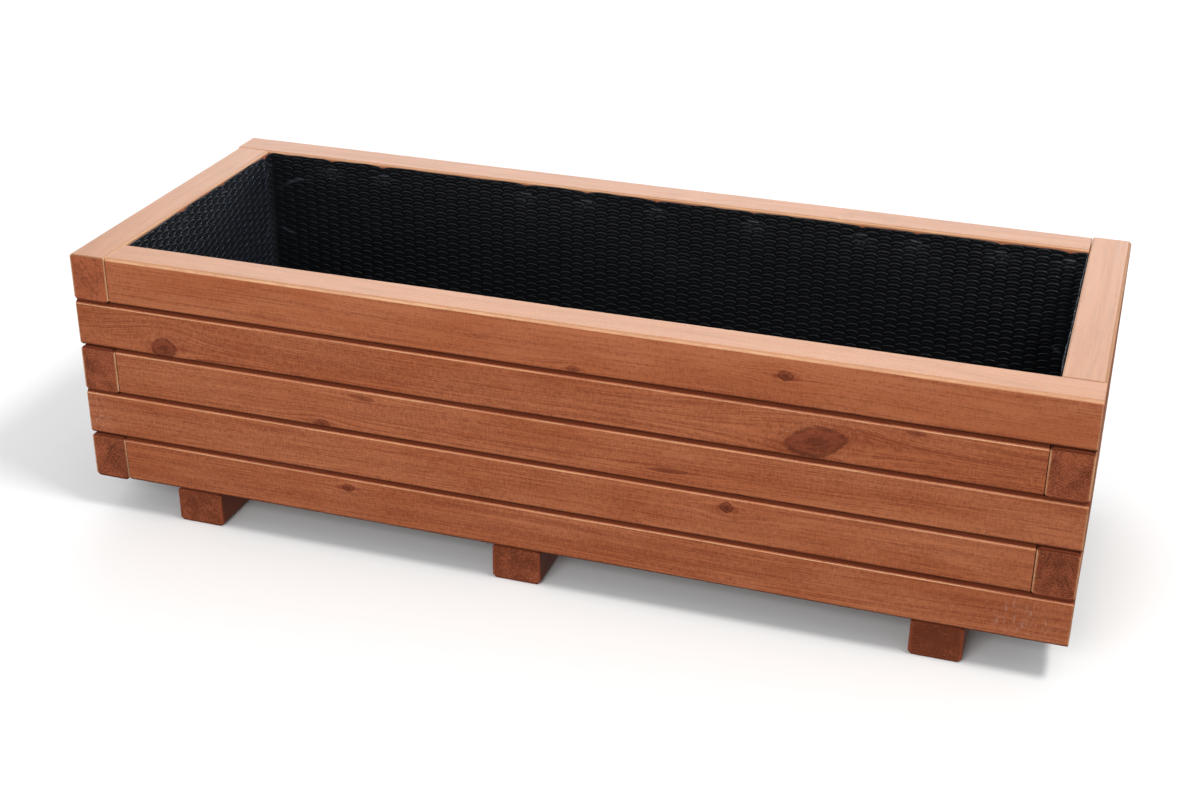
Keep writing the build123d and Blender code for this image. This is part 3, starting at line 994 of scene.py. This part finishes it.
# ---- liner --------------------------------------------------------------------------------------
PAD_HALF_WIDTH = 6.4 * MM
PAD_HALF_RISE = 3.0 * MM
PAD_CREASE, PAD_CREASE_HALF = 0.6, 0.32    # the crease across a pad: its depth and half width
PAD_CREASE_DROP, PAD_BEND = 0.04, 0.6    # how far it lies below the middle, and how much it bends
PRINTED_SHARE = 0.5    # share of a pad's height that is left to the finish
FILM_COLUMN_STEPS, FILM_ROW_STEPS = 5, 9    # points to a pad's pitch and rise on the walls
FLOOR_COLUMN_STEPS, FLOOR_ROW_STEPS = 6, 4    # and on the floor
FILM = 1.0 * MM    # the modelled film's thickness
FLOOR_FOLD, FLOOR_FOLD_STEPS = 4.0 * MM, 5
FLOOR_SAG, FLOOR_CALM = 0.8 * MM, 12 * MM    # the floor's slack, and how far from the walls it starts
CORNER_FOLD, CORNER_STEPS = 6.0 * MM, 14
CORNER_RUN = math.pi * CORNER_FOLD / 2
EDGE_TURN = 1.0 * MM
EDGE_LIFT = 2.6 * MM    # the cut edge stands this far above the modelled tray
EDGE_SLOPE = 1.4 * MM    # the film's cut edge falls by this much along the back wall
EDGE_ROWS = 4    # rows of the film that show its cut edge
STAPLE_PRESS = 16 * MM    # staples press the slack flat this far round them
STAPLE_FAN = 9 * MM    # middle of the fan of small folds round a staple
STAPLES_APART = 15 * MM    # points of the modelled staples this far apart belong to two
HOLE_SNAP = 1.15 * MM    # points this near a drain hole's edge are drawn onto it
HOLES_IN = 20 * MM    # drain holes are this far from the walls and from each other, or further


def cad_points(node):
    """The points of a CAD node's mesh."""
    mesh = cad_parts[node].data
    points = np.zeros(3 * len(mesh.vertices))
    mesh.vertices.foreach_get("co", points)
    return points.reshape(-1, 3)


class FilmPath:
    """The closed line that the film follows round the inside of the walls.

    It is a rectangle with quarter circles at its corners. It starts at the front of the left wall
    and runs along the left, back, right and front walls.
    """

    def __init__(self):
        low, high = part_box("liner")
        self.low, self.high = np.array(low), np.array(high)
        half = (self.high - self.low) / 2
        middle = (self.high + self.low) / 2
        r = CORNER_FOLD
        side, end = 2 * (half[0] - r), 2 * (half[1] - r)
        self.runs = {"left": end, "back": side, "right": end, "front": side}
        starts = [(-1, -1), (-1, 1), (1, 1), (1, -1)]
        headings = [(0, 1), (1, 0), (0, -1), (-1, 0)]
        place, points, angles, distances = 0.0, [], [], []
        self.begins = {}
        for (wall, run), (side_x, side_y), heading in zip(self.runs.items(), starts, headings):
            inward = np.array([heading[1], -heading[0]])
            begin = middle[:2] + np.array([side_x * half[0], side_y * half[1]]) + r * np.array(heading)
            self.begins[wall] = place
            angle = math.atan2(inward[1], inward[0])
            points += [begin, begin + run * np.array(heading)]
            angles += [angle, angle]
            distances += [place, place + run]
            place += run
            centre = points[-1] + r * inward
            for turn in np.radians(np.linspace(0, 90, CORNER_STEPS + 1))[1:-1]:
                at = angle - turn
                points.append(centre - r * np.array([math.cos(at), math.sin(at)]))
                angles.append(at)
                distances.append(place + r * turn)
            place += CORNER_RUN
        points.append(points[0])
        angles.append(angles[0] - 2 * math.pi)
        distances.append(place)
        self.length = place
        self.points, self.distances = np.array(points), np.array(distances)
        self.angles = np.unwrap(np.array(angles))

    def at(self, s):
        """Place on the wall's face and inward direction at distances s."""
        s = np.mod(s, self.length)
        x = np.interp(s, self.distances, self.points[:, 0])
        y = np.interp(s, self.distances, self.points[:, 1])
        angle = np.interp(s, self.distances, self.angles)
        return np.stack([x, y], axis=-1), np.stack([np.cos(angle), np.sin(angle)], axis=-1)

    def beyond(self, s, place):
        """How far along the line s is beyond a place, the shorter way round."""
        return np.mod(s - place + self.length / 2, self.length) - self.length / 2

    def along(self, x, y, wall):
        """Distance along the line of a point beside a wall."""
        from_low = {
            "left": y - self.low[1], "back": x - self.low[0],
            "right": self.high[1] - y, "front": self.high[0] - x,
        }
        return self.begins[wall] + from_low[wall] - CORNER_FOLD


def staple_places(path):
    """The staples' middles, as (distance along the film's line, height), from the CAD staples."""
    points = cad_points("liner_staples")
    off_wall = {
        "left": np.abs(points[:, 0] - path.low[0]), "right": np.abs(points[:, 0] - path.high[0]),
        "front": np.abs(points[:, 1] - path.low[1]), "back": np.abs(points[:, 1] - path.high[1]),
    }
    nearest = np.argmin(np.stack(list(off_wall.values())), axis=0)
    found = []
    for number, wall in enumerate(off_wall):
        mine = points[nearest == number]
        s = path.along(mine[:, 0], mine[:, 1], wall)
        order = np.argsort(s)
        breaks = np.nonzero(np.diff(s[order]) > STAPLES_APART)[0] + 1
        for group in np.split(order, breaks):
            found.append((float((s[group].min() + s[group].max()) / 2), float(mine[group, 2].mean())))
    return found


def pad_relief(s, z, pitch, rise):
    """Embossed pads, 1 on a pad and 0 between pads.

    A pad is a flat-topped oval round each point of a staggered lattice, which is two rectangular
    lattices, one shifted by half a step both ways. A bent crease crosses it near its middle, where
    y plus PAD_BEND times x squared is near nothing.
    """
    relief = np.zeros(np.broadcast(s, z).shape)
    for shift in (0.0, 0.5):
        x = (np.mod(s / (2 * pitch) + shift, 1) - 0.5) * 2 * pitch / PAD_HALF_WIDTH
        y = (np.mod(z / rise + shift, 1) - 0.5) * rise / PAD_HALF_RISE
        crease = 1 - smooth_step(np.abs(y + PAD_BEND * x**2 + PAD_CREASE_DROP), 0, PAD_CREASE_HALF)
        pad = 1 - smooth_step(np.hypot(x, y), 0.5, 1.05)
        relief = np.maximum(relief, pad * (1 - PAD_CREASE * crease))
    return relief


# Short creases pressed into the film: wall, distance along it, height above the floor board, length and lean.
Crease = namedtuple("Crease", "wall along height length lean")
CREASES = [
    Crease("back", 12 * MM, 125 * MM, 13 * MM, -28),
    Crease("back", 22 * MM, 181 * MM, 26 * MM, 20),
    Crease("left", 254 * MM, 128 * MM, 12 * MM, 62),
    Crease("left", 262 * MM, 183 * MM, 14 * MM, 50),
    Crease("back", 806 * MM, 108 * MM, 10 * MM, -35),
    Crease("front", 30 * MM, 150 * MM, 12 * MM, 30),
    Crease("right", 240 * MM, 140 * MM, 12 * MM, -40),
]


def film_shape(path, s, z, staples, settings):
    """How far the film stands in from the timber at (s, z), and how whitened it is there.

    Its thickness, plus slack that staples press flat, plus creases, plus the embossed pads.
    """
    rng = np.random.default_rng(77)
    slack = 0.55 + 0.45 * ripple(s, 0.16, rng) * 0.7 + 0.2 * ripple(z + 0.35 * s, 0.11, rng)
    off = FILM + settings.slack * np.clip(slack, 0, 2)
    stress = np.zeros(np.broadcast(s, z).shape)
    for at, height in staples:
        reach = np.hypot(path.beyond(s, at), 1.2 * (z - height))
        off = FILM + (off - FILM) * (1 - bell(reach, STAPLE_PRESS))
        fan = np.abs(np.sin(6 * np.arctan2(z - height, s - at)))
        stress = np.maximum(stress, 0.25 * bell(reach, 4 * MM))
        stress = np.maximum(stress, 0.4 * fan**6 * bell(reach - STAPLE_FAN, 4 * MM) * (z < height))
        off = off + 0.35 * MM * fan * bell(reach - STAPLE_FAN, 5 * MM)
    for crease in CREASES:
        ds = s - path.begins[crease.wall] - crease.along
        dz = z - path.low[2] - crease.height
        lean = math.radians(crease.lean)
        along = ds * math.cos(lean) + dz * math.sin(lean)
        beside = dz * math.cos(lean) - ds * math.sin(lean) + 12 * along**2
        ridge = bell(along, crease.length / 2) * bell(beside, 1.3 * MM)
        off = off + 0.8 * MM * ridge
        stress = np.maximum(stress, 0.7 * ridge)
    pads = pad_relief(s, z, settings.pad_pitch, settings.pad_rise)
    return off + (1 - PRINTED_SHARE) * settings.pad_height * pads, stress


def top_edge(path, s, staples, settings):
    """Height of the film's cut top edge: a wavy line with a sharp dip at each staple."""
    rng = np.random.default_rng(91)
    waves = 0.6 * ripple(s, 0.11, rng) + 0.3 * ripple(s, 0.03, rng)
    edge = path.high[2] + EDGE_LIFT + settings.edge_wave * waves
    along_back = (s - path.begins["back"]) / path.runs["back"]
    edge = edge + np.where((along_back > 0) & (along_back < 1), EDGE_SLOPE * (0.6 - along_back), 0)
    for at, _height in staples:
        edge = edge - settings.staple_dip * np.exp(-np.abs(path.beyond(s, at)) / (4 * MM))
    return edge


def build_wall_film(name, path, begin, end, staples, settings):
    """One wall's film, from a fold in the floor up to the cut top edge and a little way down behind it.

    A point is the wall line at distance s, moved in by film_shape at height z. The lowest rows
    follow a quarter circle into the floor, and the last rows go over the edge.
    """
    columns = max(2, round((end - begin) / (settings.pad_pitch / FILM_COLUMN_STEPS)) + 1)
    s = np.linspace(begin, end, columns)
    floor = path.low[2] + FILM
    top = top_edge(path, s, staples, settings)
    rows = round((path.high[2] - floor - FLOOR_FOLD) / (settings.pad_rise / FILM_ROW_STEPS))
    rise = np.linspace(0, 1, rows)[:, None]
    wall_z = floor + FLOOR_FOLD + rise * (top - floor - FLOOR_FOLD)[None]
    off, stress = film_shape(path, s[None], wall_z, staples, settings)

    turn = np.radians(np.linspace(90, 0, FLOOR_FOLD_STEPS, endpoint=False))[:, None]
    fold_z = floor + FLOOR_FOLD * (1 - np.sin(turn)) + 0 * s[None]
    fold_off = FILM + (off[:1] - FILM) * np.cos(turn) ** 2 + FLOOR_FOLD * (1 - np.cos(turn))

    over_z = top[None] + np.array([[0.15], [0.1], [-4.0]]) * MM
    over_off = off[-1:] - np.array([[0.3], [0.75], [0.9]]) * EDGE_TURN
    z = np.concatenate([fold_z, wall_z, over_z])
    off = np.concatenate([fold_off, off, np.maximum(over_off, 0.1 * MM)])
    stress = np.concatenate([np.zeros(fold_z.shape), stress, np.repeat(stress[-1:] * 0.5, 3, axis=0)])
    flat, inward = path.at(s)
    xy = flat[None] + off[..., None] * inward[None]
    points = np.concatenate([xy, z[..., None]], axis=-1).reshape(-1, 3)
    piece = make_piece(name, points, grid_faces(len(z), columns, closed=False))
    at_edge = np.zeros(z.shape)
    at_edge[-EDGE_ROWS:] = 1.0
    place = np.stack([np.broadcast_to(s[None], z.shape), z, at_edge], axis=-1)
    set_vectors(piece, "film", place.reshape(-1, 3))
    set_numbers(piece, "stress", stress.ravel())
    return piece


def build_floor_film(path, settings):
    """The film on the floor: a grid with the embossed pads, open at the drain holes.

    Squares whose middle lies in a drain hole are left out, and points near its edge are drawn
    onto its circle.
    """
    inset = FILM + FLOOR_FOLD
    low, high = path.low[:2] + inset, path.high[:2] - inset
    steps = np.array([settings.pad_pitch / FLOOR_COLUMN_STEPS, settings.pad_rise / FLOOR_ROW_STEPS])
    counts = [round(count) + 1 for count in (high - low) / steps]
    x, y = (np.linspace(low[i], high[i], counts[i]) for i in range(2))
    x, y = (part.copy() for part in np.meshgrid(x, y, indexing="xy"))
    rng = np.random.default_rng(5)
    edge = np.minimum(np.minimum(x - low[0], high[0] - x), np.minimum(y - low[1], high[1] - y))
    calm = smooth_step(edge, 0, FLOOR_CALM)
    sag = FLOOR_SAG * (0.5 + 0.5 * ripple(x + 0.3 * y, 0.12, rng) * ripple(y, 0.09, rng))
    pads = settings.pad_height * pad_relief(x, y, settings.pad_pitch, settings.pad_rise)
    z = path.low[2] + FILM + (sag + pads) * calm
    quads = grid_faces(*x.shape, closed=False)
    keep = np.ones(len(quads), bool)
    for centre, radius in drain_holes():
        middle_x = x.ravel()[quads].mean(axis=1) - centre[0]
        middle_y = y.ravel()[quads].mean(axis=1) - centre[1]
        keep &= np.hypot(middle_x, middle_y) > radius
        dx, dy = x - centre[0], y - centre[1]
        reach = np.maximum(np.hypot(dx, dy), 1e-6)
        on_edge = np.abs(reach - radius) < HOLE_SNAP
        x[on_edge] = (centre[0] + dx * radius / reach)[on_edge]
        y[on_edge] = (centre[1] + dy * radius / reach)[on_edge]
    points = np.stack([x, y, z], axis=-1).reshape(-1, 3)
    piece = make_piece("liner_floor", points, quads[keep])
    set_vectors(piece, "film", points)
    set_numbers(piece, "stress", np.zeros(len(points)))
    return piece


def drain_holes():
    """Centres and radii of the drain holes, from the points of the CAD liner's floor inside its edge."""
    points = cad_points("liner")
    low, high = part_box("liner")
    inside = points[:, 2] < low.z + 2 * MM
    inside &= (points[:, 0] > low.x + HOLES_IN) & (points[:, 0] < high.x - HOLES_IN)
    inside &= (points[:, 1] > low.y + HOLES_IN) & (points[:, 1] < high.y - HOLES_IN)
    rims = points[inside][:, :2]
    found = []
    while len(rims):
        mine = np.linalg.norm(rims - rims[0], axis=1) < HOLES_IN
        group = rims[mine]
        centre = (group.min(axis=0) + group.max(axis=0)) / 2
        found.append((centre, float(np.linalg.norm(group - centre, axis=1).mean())))
        rims = rims[~mine]
    return found


# ---- staples ------------------------------------------------------------------------------------
CROWN, BEND, LEG = 10.6 * MM, 0.9 * MM, 5.0 * MM    # a staple's width, the radius of its bends and its legs
BEND_STEPS = 6
WIRE_SIDES = 8


def build_staples(path, staples, settings, liner_settings):
    """All the staples as one piece of bent flat wire.

    One staple is an oval section carried along a line: up a leg, round a bend, along the crown
    and down the other leg. It is copied to each place, turned along its wall and tilted a little.
    """
    rng = np.random.default_rng(12)
    turn = np.radians(np.linspace(0, 90, BEND_STEPS))
    half = CROWN / 2
    left = np.stack([-half + BEND - BEND * np.cos(turn), -BEND + BEND * np.sin(turn)], axis=1)
    line = np.concatenate([[[-half, -LEG]], left, (left * [-1, 1])[::-1], [[half, -LEG]]])
    tangent = np.gradient(line, axis=0)
    tangent /= np.linalg.norm(tangent, axis=1, keepdims=True)
    normal = np.stack([-tangent[:, 1], tangent[:, 0]], axis=1)
    around = np.radians(np.linspace(0, 360, WIRE_SIDES, endpoint=False))
    thick, wide = settings.wire_thickness / 2 * np.cos(around), settings.wire_width / 2 * np.sin(around)
    wire = np.zeros((len(line), len(around), 3))
    wire[..., :2] = line[:, None] + normal[:, None] * thick[None, :, None]
    wire[..., 2] = wide[None]
    one = wire.reshape(-1, 3)
    faces, _none = outward(one, grid_faces(len(line), len(around), closed=True), NO_TRIANGLES)

    s, z = np.array(staples).T
    flat, inward = path.at(s)
    along = np.stack([inward[:, 1], -inward[:, 0]], axis=1)
    tilt = rng.uniform(-settings.tilt, settings.tilt, len(s))[:, None]
    proud = FILM + liner_settings.pad_height + settings.wire_thickness * 0.45
    sideways = one[None, :, 0] * np.cos(tilt) - one[None, :, 2] * np.sin(tilt)
    upwards = one[None, :, 0] * np.sin(tilt) + one[None, :, 2] * np.cos(tilt)
    depth = proud + one[None, :, 1]
    xy = flat[:, None] + sideways[..., None] * along[:, None] + depth[..., None] * inward[:, None]
    points = np.concatenate([xy, (z[:, None] + upwards)[..., None]], axis=-1).reshape(-1, 3)
    quads = (faces[None] + (np.arange(len(s)) * len(one))[:, None, None]).reshape(-1, 4)
    return make_piece("liner_staple_wires", points, quads)


# ---- operators ----------------------------------------------------------------------------------
RAIL_SEED, BEARER_SEED, BOARD_SEED = 100, 200, 300    # the first timber's of each kind
SCREW_BARING = 0.2 * MM    # undersides with screw heads are raised by this much
FLOOR_HALF = 20.0
HORIZON = 0.12    # the sky's light fades to the ground's over this much of height either way
LAMP_AIM = (0, 0, 0.12)


class PLANTER_OT_rails(bpy.types.Operator):
    """Build the twenty rails of the walls"""

    bl_idname = "planter.rails"
    bl_label = "Rails"

    def execute(self, context):
        settings = context.scene.planter_timber
        material = timber_material(
            "stained_softwood", settings, settings.stain, settings.late_wood, settings.end_grain
        )
        for number, node in enumerate(LONG_RAILS + END_RAILS):
            gaps = butting_ends(node, settings.butt_gap)
            lift = SCREW_BARING if node.endswith("_1") else 0.0
            piece = build_timber(node, settings, RAIL_SEED + number, gaps, lift)
            hand_over(piece, material, "stained_rail", node)
        return {"FINISHED"}


class PLANTER_OT_bearers(bpy.types.Operator):
    """Build the three cross-bearers that the trough stands on"""

    bl_idname = "planter.bearers"
    bl_label = "Bearers"

    def execute(self, context):
        settings = context.scene.planter_timber
        material = timber_material(
            "stained_bearer", settings, settings.bearer_stain, settings.late_wood, settings.end_grain
        )
        for number, node in enumerate(BEARERS):
            piece = build_timber(node, settings, BEARER_SEED + number, lift=SCREW_BARING)
            hand_over(piece, material, "stained_bearer", node)
        return {"FINISHED"}


class PLANTER_OT_floor_boards(bpy.types.Operator):
    """Build the floor boards under the liner"""

    bl_idname = "planter.floor_boards"
    bl_label = "Floor boards"

    def execute(self, context):
        settings = context.scene.planter_timber
        board = settings.board
        material = timber_material(
            "floor_board_softwood", settings, board, toned(board, 0.55), toned(board, 0.6)
        )
        for number, node in enumerate(BOARDS):
            piece = build_timber(node, settings, BOARD_SEED + number)
            hand_over(piece, material, "floor_board", node)
        return {"FINISHED"}


class PLANTER_OT_liner(bpy.types.Operator):
    """Build the embossed film on the four walls and the floor"""

    bl_idname = "planter.liner"
    bl_label = "Liner"

    def execute(self, context):
        settings = context.scene.planter_liner
        path = FilmPath()
        staples = staple_places(path)
        material = film_material(settings)
        for wall in ("left", "back", "right", "front"):
            begin = path.begins[wall]
            end = begin + path.runs[wall]
            if wall in ("back", "front"):
                begin, end = begin - CORNER_RUN, end + CORNER_RUN
            piece = build_wall_film(f"liner_{wall}", path, begin, end, staples, settings)
            hand_over(piece, material, "liner_film", "liner")
        piece = build_floor_film(path, settings)
        hand_over(piece, material, "liner_film", "liner")
        return {"FINISHED"}


class PLANTER_OT_staples(bpy.types.Operator):
    """Build the wire staples that hold the film"""

    bl_idname = "planter.staples"
    bl_label = "Staples"

    def execute(self, context):
        settings = context.scene.planter_fixings
        path = FilmPath()
        piece = build_staples(path, staple_places(path), settings, context.scene.planter_liner)
        hand_over(piece, wire_material("staple_wire", settings.wire, 0.28), "staple_wire", "liner_staples")
        return {"FINISHED"}


class PLANTER_OT_screws(bpy.types.Operator):
    """Give the screws their steel finish"""

    bl_idname = "planter.screws"
    bl_label = "Screws"

    def execute(self, context):
        material = wire_material("screw_steel", context.scene.planter_fixings.screw, 0.25)
        for node in SCREWS:
            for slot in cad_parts[node].material_slots:
                slot.material = material
        return {"FINISHED"}


class PLANTER_OT_stage(bpy.types.Operator):
    """Set the camera, the lights and the floor"""

    bl_idname = "planter.stage"
    bl_label = "Stage"

    def execute(self, context):
        settings = context.scene.planter_stage
        scene = context.scene
        corners = [(-1, -1, 0), (1, -1, 0), (1, 1, 0), (-1, 1, 0)]
        floor = make_piece("pale_floor", FLOOR_HALF * np.array(corners), np.array([[0, 1, 2, 3]]))
        floor.data.materials.append(floor_material(settings))
        # the floor is seen and shaded, but neither lights the timber from below nor shines on it
        floor.visible_diffuse = floor.visible_glossy = False

        # the world: even light that is weaker from below the horizon
        world = bpy.data.worlds.new("even_sky")
        world.use_nodes = True
        nodes, links = world.node_tree.nodes, world.node_tree.links
        direction = nodes.new("ShaderNodeTexCoord")
        parts = nodes.new("ShaderNodeSeparateXYZ")
        height = nodes.new("ShaderNodeMapRange")
        height.inputs["From Min"].default_value, height.inputs["From Max"].default_value = -HORIZON, HORIZON
        height.inputs["To Min"].default_value = settings.ground_strength
        height.inputs["To Max"].default_value = settings.sky_strength
        background = nodes["Background"]
        background.inputs["Color"].default_value = (*settings.sky, 1)
        links.new(direction.outputs["Generated"], parts.inputs[0])
        links.new(parts.outputs[2], height.inputs["Value"])
        links.new(height.outputs[0], background.inputs["Strength"])
        scene.world = world
        scene.view_settings.view_transform = "Standard"

        add_lamp("key_lamp", (1.7, -0.52, 3.0), 0.95, 0.5, settings.key_power, (1.0, 0.97, 0.93))
        add_lamp("front_lamp", (-0.15, -1.95, 1.1), 1.0, 0.8, settings.front_power, (1.0, 0.99, 0.98), False)
        add_lamp("back_lamp", (-0.5, 2.4, 1.25), 3.0, 1.3, settings.back_power, (0.93, 0.96, 1.0))

        camera = bpy.data.objects.new("camera", bpy.data.cameras.new("camera"))
        camera.data.lens = settings.lens
        camera.data.sensor_width = 36.0
        camera.data.clip_start, camera.data.clip_end = 0.05, 50.0
        sight = (Vector(settings.camera_aim) - Vector(settings.camera_at)).normalized()
        turn = sight.to_track_quat("-Z", "Y").to_matrix() @ Matrix.Rotation(settings.camera_roll, 3, "Z")
        camera.matrix_world = Matrix.Translation(settings.camera_at) @ turn.to_4x4()
        scene.collection.objects.link(camera)
        scene.camera = camera
        return {"FINISHED"}


def add_lamp(name, place, width, height, power, tint, glossy=True):
    """An area lamp that faces the middle of the trough. It gives no highlights if glossy is false."""
    lamp = bpy.data.lights.new(name, "AREA")
    lamp.shape = "RECTANGLE"
    lamp.size, lamp.size_y, lamp.energy, lamp.color = width, height, power, tint
    holder = bpy.data.objects.new(name, lamp)
    holder.location = place
    holder.visible_glossy = glossy
    holder.rotation_euler = (Vector(LAMP_AIM) - Vector(place)).to_track_quat("-Z", "Y").to_euler()
    bpy.context.scene.collection.objects.link(holder)


OPERATORS = (
    PLANTER_OT_rails, PLANTER_OT_bearers, PLANTER_OT_floor_boards, PLANTER_OT_liner,
    PLANTER_OT_staples, PLANTER_OT_screws, PLANTER_OT_stage,
)
SETTINGS = {
    "planter_timber": PlanterTimber, "planter_liner": PlanterLiner,
    "planter_fixings": PlanterFixings, "planter_stage": PlanterStage,
}


class PLANTER_PT_panel(bpy.types.Panel):
    """Lists the planter's operators and settings in the sidebar"""

    bl_idname = "PLANTER_PT_panel"
    bl_label = "Trough Planter"
    bl_space_type = "VIEW_3D"
    bl_region_type = "UI"
    bl_category = "Planter"

    def draw(self, context):
        for operator in OPERATORS:
            self.layout.operator(operator.bl_idname)
        for name, group in SETTINGS.items():
            box = self.layout.box()
            for setting in group.__annotations__:
                box.prop(getattr(context.scene, name), setting)


def register():
    """Registers the settings, operators and panel."""
    for group in SETTINGS.values():
        bpy.utils.register_class(group)
    for operator in (*OPERATORS, PLANTER_PT_panel):
        bpy.utils.register_class(operator)
    for name, group in SETTINGS.items():
        setattr(bpy.types.Scene, name, PointerProperty(type=group))


def unregister():
    """Takes away what register added."""
    for name in SETTINGS:
        delattr(bpy.types.Scene, name)
    for operator in (PLANTER_PT_panel, *reversed(OPERATORS)):
        bpy.utils.unregister_class(operator)
    for group in reversed(list(SETTINGS.values())):
        bpy.utils.unregister_class(group)


def main():
    """Builds the planter and its stage."""
    register()
    bpy.ops.planter.rails()
    bpy.ops.planter.bearers()
    bpy.ops.planter.floor_boards()
    bpy.ops.planter.liner()
    bpy.ops.planter.staples()
    bpy.ops.planter.screws()
    bpy.ops.planter.stage()


if __name__ == "__main__":
    main()
